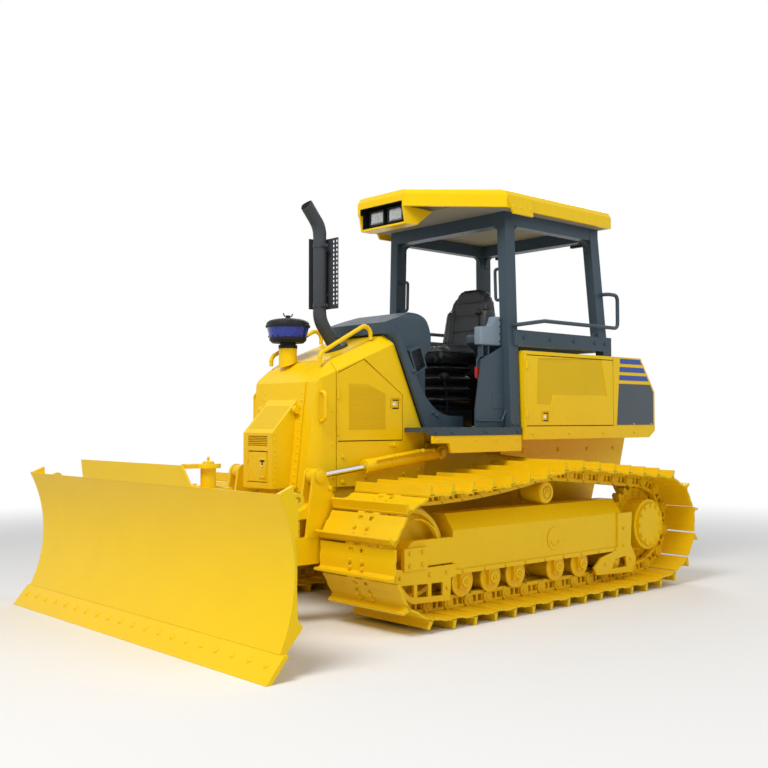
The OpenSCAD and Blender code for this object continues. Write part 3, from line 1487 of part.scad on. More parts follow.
// Blade: a curved mouldboard with end plates, box stiffeners and brackets on its back
blade_deep_x = 3508;
blade_mid_z = 470;
blade_cx = blade_deep_x + blade_r;
end_t = 25;
end_back_x = 3490;
end_top_z = 874;
box_back_x = 3461;
box_top_z = 262;
box_knee_z = 222;
box_low_z = 27;
spill_h = 107;
spill_half = 600;
spill_top_half = 560;
spill_lean = 32;
spill_x = blade_front_at(blade_h);
post_x = 3480;
tilt_post_y = 575;
tilt_post_r = 40;
tilt_post_top = 950;
cap_plate_t = 22;
clevis_t = 22;
clevis_gap = 86;
angle_pin_x = 3425;
angle_pin_y = 330;
angle_pin_z = angle_base_z;
rib_half = 225;
rib_back_x = 3452;
function blade_front_at(z) = blade_cx - sqrt(blade_r * blade_r - (z - blade_mid_z) * (z - blade_mid_z));
edge_top_x = blade_front_at(edge_h);
// Back face of the cutting edge at a height
function edge_back_at(z) = blade_tip_x - edge_d + (edge_top_x - blade_tip_x) * z / edge_h - skin_gap;
module blade_void() {
    drum(blade_cx, blade_mid_z, -edge_w, edge_w, blade_r, $fn = 240);
}
module blade() {
    half = blade_w / 2;
    back = blade_deep_x + blade_t;
    color(body_yellow) placed() {
        difference() {
            union() {
                intersection() {
                    drum(blade_cx, blade_mid_z, -half, half, blade_r + blade_t, $fn = 240);
                    box([blade_deep_x - 2 * blade_t, -edge_w, edge_h], [blade_cx, edge_w, blade_h]);
                }
                for (y = [-half, half - end_t])
                    side_plate([[blade_front_at(blade_h) + over, blade_h],
                        [end_back_x + end_t, end_top_z],
                        [end_back_x, box_top_z], [box_back_x, box_knee_z],
                        [edge_back_at(box_low_z), box_low_z],
                        [edge_back_at(edge_h), edge_h], [edge_top_x, edge_h]], y, y + end_t);
                side_plate([[back, box_top_z], [box_back_x, box_knee_z],
                    [edge_back_at(box_low_z), box_low_z],
                    [edge_back_at(edge_h), edge_h], [edge_top_x, edge_h], [edge_top_x, box_top_z]],
                    -half, half);
                side_plate([[end_back_x, blade_h - 2 * socket_r], [end_back_x, blade_h - end_t],
                    [blade_front_at(blade_h), blade_h - end_t],
                    [blade_front_at(blade_h), blade_h - 2 * socket_r]],
                    -half, half);
                difference() {
                    box([rib_back_x, -rib_half, box_knee_z],
                        [back + 2 * blade_t, rib_half, blade_h - socket_r]);
                    translate([0, 0, ball_z]) rotate([0, 90, 0])
                        cylinder(h = trunnion_end_x + side_fit, r = trunnion_r + pin_fit);
                }
                both_sides() for (s = [-1, 1]) {
                    y = angle_pin_y + s * (clevis_gap + clevis_t / 2);
                    side_plate([[angle_pin_x, angle_pin_z - angle_eye_r],
                        [back + blade_t, angle_pin_z - socket_r],
                        [back + blade_t, angle_pin_z + socket_r],
                        [angle_pin_x, angle_pin_z + angle_eye_r]],
                        y - clevis_t / 2, y + clevis_t / 2);
                    drum(angle_pin_x, angle_pin_z, y - clevis_t / 2, y + clevis_t / 2, angle_eye_r);
                }
                for (s = [-1, 1]) {
                    x = tilt_x + s * (tilt_eye_half + side_fit + clevis_t / 2);
                    box([x - clevis_t / 2, tilt_pin_y - tilt_eye_r, tilt_pin_z - tilt_eye_r],
                        [x + clevis_t / 2, tilt_pin_y + 2 * tilt_eye_r, tilt_pin_z + 2 * tilt_eye_r]);
                }
                box([tilt_x - tilt_eye_half - side_fit - clevis_t, tilt_pin_y + 2 * tilt_eye_r,
                    tilt_pin_z - tilt_eye_r],
                    [blade_front_at(blade_h), tilt_pin_y + 2 * tilt_eye_r + clevis_t,
                    tilt_pin_z + 2 * tilt_eye_r]);
            }
            blade_void();
        }
        intersection() {
            cross_plate([[-spill_half, blade_h - over], [spill_half, blade_h - over],
                [spill_top_half, blade_h + spill_h], [-spill_top_half, blade_h + spill_h]], 0,
                blade_cx);
            side_plate([[spill_x, blade_h - over], [spill_x + spill_lean, blade_h + spill_h],
                [spill_x + spill_lean - blade_t, blade_h + spill_h],
                [spill_x - blade_t, blade_h - over]],
                -spill_half, spill_half);
        }
        translate([post_x, tilt_post_y, blade_h - end_t - over])
            cylinder(h = tilt_post_top - blade_h + end_t + over, r = tilt_post_r);
        translate([post_x, tilt_post_y, tilt_post_top - cap_plate_t])
            cylinder(h = cap_plate_t, r = tilt_post_r + end_t);
        box([post_x, tilt_post_y - tilt_post_r - end_t, tilt_post_top - cap_plate_t],
            [spill_x, tilt_post_y, tilt_post_top]);
    }
}

// Cutting edge with wider end bits
edge_d = 30;
module cutting_edge() {
    top = edge_h - skin_gap;
    color(body_yellow) placed() side_plate([[edge_top_x, top], [blade_tip_x, 0],
        [blade_tip_x - edge_d, 0],
        [edge_top_x - edge_d, top]], -edge_w / 2, edge_w / 2);
}

// Lifting eyes behind the blade's upper corners
eye_x = 3450;
eye_inset = 66;
eye_y = blade_w / 2 - eye_inset;
eye_z = 800;
eye_r = 36;
eye_hole_r = 17;
eye_t = 24;
module blade_eyes() {
    color(body_yellow) placed() both_sides() difference() {
        union() {
            drum(eye_x, eye_z, eye_y - eye_t / 2, eye_y + eye_t / 2, eye_r);
            box([eye_x, eye_y - eye_t / 2, eye_z - eye_r],
                [end_back_x - skin_gap, eye_y + eye_t / 2, eye_z]);
        }
        drum(eye_x, eye_z, eye_y - eye_t, eye_y + eye_t, eye_hole_r);
    }
}

// A cylinder's barrel: a tube from its base pin towards its gland, along +X
gland_len = 46;
module barrel(len, r, bore_r, eye_r, eye_half, pin_r, upright) {
    difference() {
        union() {
            rotate([0, 90, 0]) cylinder(h = len, r = r);
            translate([len - gland_len, 0, 0]) rotate([0, 90, 0])
                cylinder(h = gland_len, r = r + side_fit);
            rotate([upright ? 0 : 90, 0, 0]) translate([0, 0, -eye_half])
                cylinder(h = 2 * eye_half, r = eye_r);
        }
        translate([eye_r, 0, 0]) rotate([0, 90, 0]) cylinder(h = len, r = bore_r + pin_fit);
        rotate([upright ? 0 : 90, 0, 0]) translate([0, 0, -len])
            cylinder(h = 2 * len, r = pin_r + pin_fit);
        difference() {
            rotate([upright ? 0 : 90, 0, 0]) translate([0, 0, -len]) cylinder(h = 2 * len, r = eye_r);
            rotate([upright ? 0 : 90, 0, 0]) translate([0, 0, -eye_half])
                cylinder(h = 2 * eye_half, r = 2 * eye_r);
        }
    }
}
// A cylinder's rod: from its tip inside the barrel to its eye, along +X
module rod(len, tip, r, eye_r, eye_half, upright) {
    translate([tip, 0, 0]) rotate([0, 90, 0]) cylinder(h = len - tip, r = r);
    translate([len, 0, 0]) rotate([upright ? 0 : 90, 0, 0]) translate([0, 0, -eye_half])
        cylinder(h = 2 * eye_half, r = eye_r);
}
// Turns a cylinder drawn along X to point from one pin to another
module aimed(p, q) {
    d = q - p;
    translate(p) rotate([0, 0, atan2(d[1], d[0])])
        rotate([0, -atan2(d[2], norm([d[0], d[1]])), 0]) children();
}

// Lift cylinders beside the hood
lift_base = [lift_base_x, arm_y, lift_base_z];
lift_pin = [ear_x, arm_y, ear_z];
lift_len = norm(lift_pin - lift_base);
lift_barrel_len = 650;
lift_tip = 320;
lift_eye_r = 46;
module lift_barrel() {
    aimed(lift_base, lift_pin)
        barrel(lift_barrel_len, lift_r, lift_rod_r, lift_eye_r, lift_eye_half, lift_pin_r, false);
}
module lift_rod() {
    aimed(lift_base, lift_pin) rod(lift_len, lift_tip, lift_rod_r, lift_eye_r - over, lift_eye_half,
        false);
}
module lift_barrel_left() {
    color(body_yellow) placed() lift_barrel();
}
module lift_barrel_right() {
    color(body_yellow) placed() mirror([0, 1, 0]) lift_barrel();
}
module lift_rod_left() {
    color(bare_steel) placed() lift_rod();
}
module lift_rod_right() {
    color(bare_steel) placed() mirror([0, 1, 0]) lift_rod();
}

// Angle cylinders from the push arms to the blade's back
angle_base = [angle_base_x, arm_y, angle_base_z];
angle_pin = [angle_pin_x, angle_pin_y, angle_pin_z];
angle_len = norm(angle_pin - angle_base);
angle_barrel_len = 410;
angle_tip = 205;
module angle_barrel() {
    difference() {
        aimed(angle_base, angle_pin) translate([angle_eye_r / 2, 0, 0]) difference() {
            union() {
                rotate([0, 90, 0]) cylinder(h = angle_barrel_len - angle_eye_r / 2, r = angle_r);
            }
            translate([angle_eye_r, 0, 0]) rotate([0, 90, 0])
                cylinder(h = angle_barrel_len, r = angle_rod_r + pin_fit);
        }
        translate([angle_base_x, arm_y, 0]) cylinder(h = roof_top, r = angle_eye_r + over);
        for (s = [-1, 1]) translate([angle_base_x - 2 * angle_eye_r, arm_y - gauge / 2,
            angle_base_z + s * (angle_eye_half + gauge / 2) - gauge / 2])
            cube([4 * angle_eye_r, gauge, gauge]);
    }
    difference() {
        union() {
            translate([angle_base_x, arm_y, angle_base_z - angle_eye_half + skin_gap])
                cylinder(h = 2 * angle_eye_half, r = angle_eye_r);
            translate([angle_base_x, arm_y - angle_pin_r, angle_base_z - angle_eye_half + skin_gap])
                cube([angle_eye_r + 2 * over, 2 * angle_pin_r, 2 * angle_eye_half - 4 * over]);
        }
        translate([angle_base_x, arm_y, 0]) cylinder(h = roof_top, r = angle_pin_r + pin_fit);
    }
}
module angle_rod() {
    aimed(angle_base, angle_pin) rod(angle_len, angle_tip, angle_rod_r, angle_eye_r, angle_eye_half,
        false);
}
module angle_barrel_left() {
    color(body_yellow) placed() angle_barrel();
}
module angle_barrel_right() {
    color(body_yellow) placed() mirror([0, 1, 0]) angle_barrel();
}
module angle_rod_left() {
    color(bare_steel) placed() angle_rod();
}
module angle_rod_right() {
    color(bare_steel) placed() mirror([0, 1, 0]) angle_rod();
}

// Tilt cylinder from the yoke's tower to the blade's upper back
tilt_base = [0, tilt_base_y, tilt_base_z];
tilt_pin = [0, tilt_pin_y, tilt_pin_z];
tilt_len = norm(tilt_pin - tilt_base);
tilt_barrel_len = 330;
tilt_tip = 200;
module tilt_frame() {
    translate([tilt_x, tilt_base_y, tilt_base_z]) rotate([0, 0, 90])
        rotate([0, -atan2(tilt_pin_z - tilt_base_z, tilt_pin_y - tilt_base_y), 0]) children();
}
module tilt_barrel() {
    color(body_yellow) placed() tilt_frame()
        barrel(tilt_barrel_len, tilt_r, tilt_rod_r, tilt_eye_r, tilt_eye_half, angle_pin_r, false);
}
module tilt_rod() {
    color(bare_steel) placed() tilt_frame()
        rod(tilt_len, tilt_tip, tilt_rod_r, tilt_eye_r, tilt_eye_half, false);
}

main_frame();
engine_block();
track_frames();
track_left();
track_right();
track_rollers();
idlers();
sprockets();
nose_cowl();
nose_guard();
nose_door();
hood();
side_panels();
engine_door_left();
engine_door_right();
exhaust_stack();
exhaust_shield();
precleaner_stem();
precleaner_bowl();
precleaner_cap();
hood_rails();
dash_cowl();
floor_deck();
side_sills();
rops_frame();
canopy_roof();
roof_lining();
work_lamps();
post_rails();
seat_suspension();
seat_cushion();
seat_back();
consoles();
levers();
rear_body();
rear_door_left();
rear_door_right();
rear_corners();
rear_grille();
drawbar();
push_frame();
angle_yoke();
blade();
cutting_edge();
blade_eyes();
lift_barrel_left();
lift_barrel_right();
lift_rod_left();
lift_rod_right();
angle_barrel_left();
angle_barrel_right();
angle_rod_left();
angle_rod_right();
tilt_barrel();
tilt_rod();
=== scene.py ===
"""Looks of a small crawler dozer: finishes, tracks, fasteners, grilles, seat, lamps and studio."""

import json
import math

import bmesh
import bpy
from mathutils import Matrix, Vector
from mathutils.bvhtree import BVHTree


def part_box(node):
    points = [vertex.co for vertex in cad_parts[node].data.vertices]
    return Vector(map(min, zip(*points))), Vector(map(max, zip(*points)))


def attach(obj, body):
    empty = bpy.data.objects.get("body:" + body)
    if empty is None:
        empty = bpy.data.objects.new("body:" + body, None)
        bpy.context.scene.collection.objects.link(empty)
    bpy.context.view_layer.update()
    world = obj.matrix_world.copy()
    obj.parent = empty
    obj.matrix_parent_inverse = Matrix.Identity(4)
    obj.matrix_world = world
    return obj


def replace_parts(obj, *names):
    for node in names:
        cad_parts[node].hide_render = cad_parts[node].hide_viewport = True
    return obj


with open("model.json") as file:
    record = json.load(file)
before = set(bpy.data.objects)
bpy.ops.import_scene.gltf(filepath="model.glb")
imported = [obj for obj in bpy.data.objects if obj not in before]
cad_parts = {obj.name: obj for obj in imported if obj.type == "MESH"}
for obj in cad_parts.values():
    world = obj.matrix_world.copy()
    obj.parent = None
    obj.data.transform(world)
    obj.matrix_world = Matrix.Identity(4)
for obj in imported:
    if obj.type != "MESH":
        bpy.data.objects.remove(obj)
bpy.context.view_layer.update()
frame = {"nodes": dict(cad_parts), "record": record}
nodes = frame["nodes"]
scene = bpy.context.scene
scene.view_settings.view_transform = "Standard"


# Datums read from the frame, in metres

def middle(node):
    low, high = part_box(node)
    return (low + high) / 2


AXLE = middle("sprockets")
IDLER = middle("idlers")
SIDES = ((1, "left"), (-1, "right"))
FORWARD, BACK, UP, DOWN = (1, 0, 0), (-1, 0, 0), (0, 0, 1), (0, 0, -1)


def at(x, y, z):
    """A point whose x is measured from the sprocket axle, as in the part's source."""
    return Vector((AXLE.x + x, y, z))


def circle(count, start=0.0):
    """Even angles round a circle."""
    return [start + 2 * math.pi * i / count for i in range(count)]


def degrees(*values):
    return [math.radians(v) for v in values]


# Finishes

NOISE_ROUGH = 0.55
NOISE_SPAN = (0.25, 0.75)
MOTTLE_SCALE = 3.0
GLOSS_SCALE = 26.0
DUST_SCALE = 14.0
WAVE = (7.0, 0.008)
COAT_ROUGH = 0.12


def shader_node(tree, kind, inputs=(), **settings):
    """A node whose inputs take plain values or other nodes' outputs."""
    made = tree.nodes.new(kind)
    for name, value in settings.items():
        setattr(made, name, value)
    for name, value in dict(inputs).items():
        if isinstance(value, bpy.types.NodeSocket):
            tree.links.new(value, made.inputs[name])
        else:
            made.inputs[name].default_value = value
    return made


def noise(tree, coords, scale, detail):
    return shader_node(tree, "ShaderNodeTexNoise", {
        "Vector": coords, "Scale": scale, "Detail": detail, "Roughness": NOISE_ROUGH}).outputs["Fac"]


def mapped(tree, value, ends, low, high):
    """A value carried from the range between two ends to the range from low to high."""
    return shader_node(tree, "ShaderNodeMapRange", {
        "Value": value, "From Min": ends[0], "From Max": ends[1], "To Min": low, "To Max": high}).outputs["Result"]


def mixed(tree, factor, *colors):
    """Two colours, or outputs that give them, blended by a factor."""
    pair = {6 + i: (*c, 1.0) if isinstance(c, tuple) else c for i, c in enumerate(colors)}
    return shader_node(tree, "ShaderNodeMix", {0: factor, **pair}, data_type="RGBA").outputs[2]


def bare_tree(owner):
    owner.use_nodes = True
    owner.node_tree.nodes.clear()
    return owner.node_tree


def surface(name, color, rough, metallic=0.0, coat=0.0, mottle=0.05, rough_spread=0.06, grain=(220.0, 0.012),
            edge=None, dust=None, specular=0.2, more=()):
    """A finish with uneven colour and gloss, a fine grain and, on request, a painted highlight along the edges and dust
    low down.
    """
    made = bpy.data.materials.new(name)
    tree = bare_tree(made)
    coords = shader_node(tree, "ShaderNodeTexCoord").outputs["Object"]

    def blotches(scale, detail, low, high):
        return mapped(tree, noise(tree, coords, scale, detail), NOISE_SPAN, low, high)
    shade = mixed(tree, blotches(MOTTLE_SCALE, 3.0, 0.0, 1.0), tuple(c * (1 - mottle) for c in color),
                  tuple(min(1.0, c * (1 + mottle)) for c in color))
    slow = {"Strength": WAVE[1], "Distance": 0.01, "Height": noise(tree, coords, WAVE[0], 1.0)}
    # Edges: a paler tint where the bevelled normal turns from the flat one, a painted highlight along every edge
    if edge:
        radius, most, tint = edge
        slow["Normal"] = shader_node(tree, "ShaderNodeBevel", {"Radius": radius}, samples=4).outputs["Normal"]
        flat = shader_node(tree, "ShaderNodeNewGeometry").outputs["Normal"]
        turn = shader_node(tree, "ShaderNodeVectorMath", {0: slow["Normal"], 1: flat}, operation="DOT_PRODUCT")
        shade = mixed(tree, mapped(tree, turn.outputs["Value"], (1.0, 0.8), 0.0, most), shade, tint)
    if dust:
        most, height, tint = dust
        place = shader_node(tree, "ShaderNodeSeparateXYZ", {"Vector": coords})
        low = mapped(tree, place.outputs["Z"], (height, 0.0), 0.0, most)
        share = shader_node(tree, "ShaderNodeMath", {0: low, 1: blotches(DUST_SCALE, 5.0, 0.0, 1.0)},
                            operation="MULTIPLY")
        shade = mixed(tree, share.outputs["Value"], shade, tint)
    bump = shader_node(tree, "ShaderNodeBump", slow)
    bump = shader_node(tree, "ShaderNodeBump", {
        "Strength": grain[1], "Distance": 0.002, "Height": noise(tree, coords, grain[0], 2.0),
        "Normal": bump.outputs["Normal"]})
    body = shader_node(tree, "ShaderNodeBsdfPrincipled", {
        "Base Color": shade, "Roughness": blotches(GLOSS_SCALE, 4.0, rough - rough_spread, rough + rough_spread),
        "Normal": bump.outputs["Normal"], "Metallic": metallic, "Coat Weight": coat, "Coat Roughness": COAT_ROUGH,
        "Specular IOR Level": specular, **dict(more)})
    shader_node(tree, "ShaderNodeOutputMaterial", {"Surface": body.outputs["BSDF"]})
    return made


YELLOW = (0.94, 0.615, 0.003)
# Paler tints for the edges: painted highlight
EDGE_HIGHLIGHT_YELLOW = (1.0, 0.70, 0.02)
EDGE_HIGHLIGHT_GREY = (0.12, 0.15, 0.18)
EARTH = (0.42, 0.30, 0.14)
# Edge setting of bevel radius, share and tint, for a painted highlight along the edges
PAINTED_EDGE_HIGHLIGHT = (0.004, 0.25, EDGE_HIGHLIGHT_YELLOW)

FINISHES = {
    "body_yellow": (YELLOW, 0.30, dict(mottle=0.02, edge=PAINTED_EDGE_HIGHLIGHT)),
    "blade_yellow": (YELLOW, 0.34, dict(mottle=0.02, edge=PAINTED_EDGE_HIGHLIGHT)),
    "track_yellow": ((0.88, 0.565, 0.003), 0.42, dict(
        mottle=0.06, grain=(160.0, 0.05), edge=(0.003, 0.25, EDGE_HIGHLIGHT_YELLOW), dust=(0.06, 0.4, EARTH))),
    "frame_grey": ((0.054, 0.082, 0.108), 0.40, dict(
        mottle=0.08, grain=(260.0, 0.03), edge=(0.004, 0.25, EDGE_HIGHLIGHT_GREY))),
    "engine_grey": ((0.09, 0.09, 0.09), 0.6, dict(mottle=0.2, grain=(120.0, 0.3))),
    "exhaust_paint": ((0.052, 0.058, 0.066), 0.42, dict(mottle=0.12, grain=(180.0, 0.05))),
    "bowl_blue": ((0.010, 0.032, 0.34), 0.16, dict(coat=0.3, mottle=0.15, specular=0.4)),
    "trim_black": ((0.012, 0.012, 0.013), 0.5, dict(mottle=0.2, grain=(420.0, 0.18))),
    "bellows_rubber": ((0.013, 0.014, 0.016), 0.38, dict(mottle=0.2, grain=(300.0, 0.1), specular=0.5)),
    "seat_vinyl": ((0.016, 0.018, 0.021), 0.45, dict(mottle=0.2, grain=(360.0, 0.2), specular=0.45)),
    "console_grey": ((0.22, 0.285, 0.35), 0.5, dict(grain=(420.0, 0.1))),
    "lining_grey": ((0.34, 0.32, 0.26), 0.8, dict(mottle=0.08, grain=(500.0, 0.3))),
    "rod_chrome": ((0.72, 0.74, 0.77), 0.10, dict(metallic=1.0, mottle=0.03, rough_spread=0.04, specular=0.5)),
    "signal_red": ((0.55, 0.012, 0.010), 0.35, dict(coat=0.3, mottle=0.06)),
    # Perforated sheet, darker than the body: painted shade of the space seen through its holes
    "perforated_painted_shade": ((0.80, 0.52, 0.003), 0.45, dict(mottle=0.03, grain=(240.0, 0.5))),
    # Darker yellow for the plate behind the nose slats: painted shade between the slats
    "vent_painted_shade": ((0.66, 0.42, 0.003), 0.5, dict(grain=(240.0, 0.5))),
    "stripe_blue": ((0.012, 0.065, 0.36), 0.25, dict(coat=0.4, mottle=0.03)),
    "slate_panel": ((0.042, 0.062, 0.085), 0.25, dict(coat=0.4, mottle=0.04)),
    "lamp_reflector": ((0.50, 0.50, 0.46), 0.22, dict(metallic=1.0, specular=0.5)),
    "lamp_lens": ((0.92, 0.94, 0.96), 0.06, dict(
        mottle=0.02, rough_spread=0.02, grain=(60.0, 0.02), more={"Transmission Weight": 0.85, "IOR": 1.45})),
}
MATERIALS = {name: surface(name, color, rough, **more) for name, (color, rough, more) in FINISHES.items()}

for entry in frame["record"]["subparts"]:
    mesh = nodes[entry["node"]].data
    mesh.materials.clear()
    mesh.materials.append(MATERIALS[entry["material_slot"]])


# Mesh tools: each adds a form to a bmesh, and add_piece makes the object

SHARP = math.radians(35.0)


def frame_at(place, axis, guide=None):
    """A matrix at a place whose Z runs along an axis and whose X leans towards a guide."""
    z = Vector(axis).normalized()
    lead = Vector(guide) if guide else Vector(UP) if abs(z.z) < 0.9 else Vector(FORWARD)
    x = (lead - z * lead.dot(z)).normalized()
    made = Matrix((x, z.cross(x), z)).transposed().to_4x4()
    made.translation = place
    return made


def bridge(bm, rings, ends=(0, -1), hoop=False):
    """Faces between rings, of which one may be a single point, with caps on the ends or, as a hoop, joined ends."""
    count = max(len(ring) for ring in rings)
    for low, high in zip(rings, rings[1:] + rings[:1] if hoop else rings[1:]):
        for i in range(count):
            j = (i + 1) % count
            loop = [low[i % len(low)], low[j % len(low)], high[j % len(high)], high[i % len(high)]]
            loop = [v for k, v in enumerate(loop) if v not in loop[:k]]
            if len(loop) > 2:
                bm.faces.new(loop)
    for end in () if hoop else ends:
        if len(rings[end]) > 1:
            bm.faces.new(rings[end][::-1] if end == 0 else rings[end])


def lathe(bm, matrix, profile, steps=24, hoop=False):
    """Turns a profile of (radius, height) points about the matrix's Z."""
    bridge(bm, [[bm.verts.new(matrix @ Vector((r * math.cos(a), r * math.sin(a), h)))
                 for a in (circle(steps) if r > 0 else (0.0,))] for r, h in profile], hoop=hoop)


def prism(bm, matrix, outline, low, high):
    """Extrudes an outline in the matrix's X and Y from one height to another."""
    bridge(bm, [[bm.verts.new(matrix @ Vector((x, y, h))) for x, y in outline] for h in (low, high)])


def merge(bm, part, matrix=None):
    """Moves a bmesh, turned by a matrix, into another one."""
    if matrix is not None:
        bmesh.ops.transform(part, verts=part.verts, matrix=matrix)
    carrier = bpy.data.meshes.new("carrier")
    part.to_mesh(carrier)
    part.free()
    bm.from_mesh(carrier)
    bpy.data.meshes.remove(carrier)


def rounded(part, by, steps):
    bmesh.ops.bevel(part, geom=list(part.edges), offset=by, segments=steps, profile=0.5, affect="EDGES",
                    clamp_overlap=True)


def block(bm, low, high, round_by=0.0, steps=2, matrix=None):
    """A box between two opposite corners with its edges rounded."""
    low, high = Vector(low), Vector(high)
    part = bmesh.new()
    bmesh.ops.create_cube(part, size=1.0)
    size = Matrix.Diagonal((*(abs(s) for s in high - low), 1.0))
    bmesh.ops.transform(part, verts=part.verts, matrix=Matrix.Translation((low + high) / 2) @ size)
    if round_by:
        rounded(part, round_by, steps)
    merge(bm, part, matrix)


def bent(points, radius, steps=6):
    """A line through points with its corners turned into arcs of a radius."""
    points = [Vector(p) for p in points]
    line = [points[0]]
    for before, corner, after in zip(points, points[1:], points[2:]):
        back, on = before - corner, after - corner
        reach = min(radius / math.tan(back.angle(on) / 2), 0.49 * back.length, 0.49 * on.length)
        first, last = corner + back.normalized() * reach, corner + on.normalized() * reach
        for i in range(steps + 1):
            t = i / steps
            line.append(first * (1 - t) ** 2 + corner * 2 * t * (1 - t) + last * t ** 2)
    return line + [points[-1]]


def tube(bm, line, radius, steps=12):
    """A round bar along a line of points."""
    rings = []
    side = None
    for i, p in enumerate(line):
        run = (line[min(i + 1, len(line) - 1)] - line[max(i - 1, 0)]).normalized()
        side = side or run.orthogonal().normalized()
        side = (side - run * side.dot(run)).normalized()
        over = run.cross(side)
        rings.append([bm.verts.new(p + radius * (side * math.cos(a) + over * math.sin(a))) for a in circle(steps)])
    bridge(bm, rings)


def bolt(bm, place, axis, r):
    """A hexagon head on a washer, of a radius across the corners."""
    seat = frame_at(place, axis)
    lathe(bm, seat, [(1.35 * r, 0.0), (1.35 * r, 0.2 * r), (0.9 * r, 0.2 * r)], 16)
    lathe(bm, seat, [(r, 0.1 * r), (r, 0.75 * r), (0.82 * r, 0.9 * r), (0.0, 0.9 * r)], 6)


def dome(bm, place, axis, r, rise=0.4):
    """A flush round head, such as a plough bolt, a rivet or a plug."""
    lathe(bm, frame_at(place, axis), [(r, -0.002), (r, 0.3 * rise * r), (0.8 * r, 0.75 * rise * r),
                                      (0.45 * r, rise * r), (0.0, rise * r)], 16)


def add_piece(name, bm, body, slot, finish=None):
    """The bmesh as an object on a body, with the finish of its slot or another one."""
    bmesh.ops.recalc_face_normals(bm, faces=bm.faces)
    mesh = bpy.data.meshes.new(name)
    bm.to_mesh(mesh)
    bm.free()
    mesh.materials.append(MATERIALS[finish or slot])
    mesh.shade_smooth()
    mesh.set_sharp_from_angle(angle=SHARP)
    made = bpy.data.objects.new(name, mesh)
    scene.collection.objects.link(made)
    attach(made, body)
    return made


# Tracks: separate shoes, bolted links, pins and bushings along the pin line of the solid loop

WHEELBASE = IDLER.x - AXLE.x
GAUGE = 1.540
SHOE_W = 0.635
SHOE_COUNT = 38
SHOE_RISE = 0.047
SHOE_T = 0.012
LUG_H = 0.048
LUG_T = 0.014
LUG_LEAN = 0.12
LINK_RISE = 0.045
LINK_W = 0.042
LINK_GAP = 0.124
SPROCKET_PIN_R = 0.304
IDLER_PIN_R = 0.308
PIN_LOW = LUG_H + SHOE_RISE
GROUND_SHARES = (0.09, 0.9)
CARRIER_SHARE = 0.464
CARRIER_Z = 0.702
CARRIER_PIN_Z = CARRIER_Z + 0.072 + LINK_RISE + 0.008
TRACK_SAG = 0.030
ARC_STEPS = 14
RUN_STEPS = 8
SLOT_YS = (0.030, 0.062)
BOLT_Y = 0.052
BOLT_R = 0.014
PIN_R = 0.019
BUSH_R = 0.031
BOSS_R = 0.039


def pin_line():
    """The closed line of the pins in X from the axle and Z: sprocket, ground, idler and the sagging upper run."""
    hub, wheel = Vector((0.0, AXLE.z)), Vector((WHEELBASE, IDLER.z))
    carrier = Vector((WHEELBASE * CARRIER_SHARE, CARRIER_PIN_Z))
    lows = [Vector((WHEELBASE * share, PIN_LOW)) for share in GROUND_SHARES]

    def arc(c, r, start, end):
        return [c + r * Vector((math.cos(a), math.sin(a))) for a in (
            start + (end - start) * i / ARC_STEPS for i in range(ARC_STEPS + 1))]
    quarter = math.pi / 2
    rear = arc(hub, SPROCKET_PIN_R,
               quarter + math.atan2(carrier.y - hub.y - SPROCKET_PIN_R, carrier.x),
               3 * quarter - math.atan2(hub.y - SPROCKET_PIN_R - PIN_LOW, lows[0].x))
    front = arc(wheel, IDLER_PIN_R,
                -quarter + math.atan2(wheel.y - IDLER_PIN_R - PIN_LOW, wheel.x - lows[1].x),
                quarter - math.atan2(carrier.y - wheel.y - IDLER_PIN_R, wheel.x - carrier.x))
    run = []
    for i in range(1, RUN_STEPS + 1):
        t = i / RUN_STEPS
        run.append(front[-1].lerp(carrier, t) - Vector((0.0, TRACK_SAG * 4 * t * (1 - t))))
    return rear + lows + front + run + [rear[0]]


def pin_places():
    """The pins, evenly spaced along their line."""
    line = pin_line()
    stops = [0.0]
    for a, b in zip(line, line[1:]):
        stops.append(stops[-1] + (b - a).length)
    places = []
    for i in range(SHOE_COUNT):
        reach = stops[-1] * i / SHOE_COUNT
        k = max(j for j in range(len(line) - 1) if stops[j] <= reach)
        places.append(line[k].lerp(line[k + 1], (reach - stops[k]) / (stops[k + 1] - stops[k])))
    return places


def grid_plate(bm, matrix, stations, ys, thick, holes=()):
    """A plate that follows stations of (x, z) across a row of ys, with some of its cells left out as holes."""
    solid = {(i, j) for i in range(len(stations) - 1) for j in range(len(ys) - 1)} - set(holes)
    top, low = ({(i, j): bm.verts.new(matrix @ Vector((x, y, z - drop))) for i, (x, z) in enumerate(stations)
                 for j, y in enumerate(ys)} for drop in (0.0, thick))
    for i, j in solid:
        ring = [(i, j), (i + 1, j), (i + 1, j + 1), (i, j + 1)]
        bm.faces.new([top[k] for k in ring])
        bm.faces.new([low[k] for k in reversed(ring)])
        for a, b, beyond in ((0, 1, (i, j - 1)), (1, 2, (i + 1, j)), (2, 3, (i, j + 1)), (3, 0, (i - 1, j))):
            if beyond not in solid:
                bm.faces.new((top[ring[b]], top[ring[a]], low[ring[a]], low[ring[b]]))
    for v in [v for v in (*top.values(), *low.values()) if not v.link_faces]:
        bm.verts.remove(v)


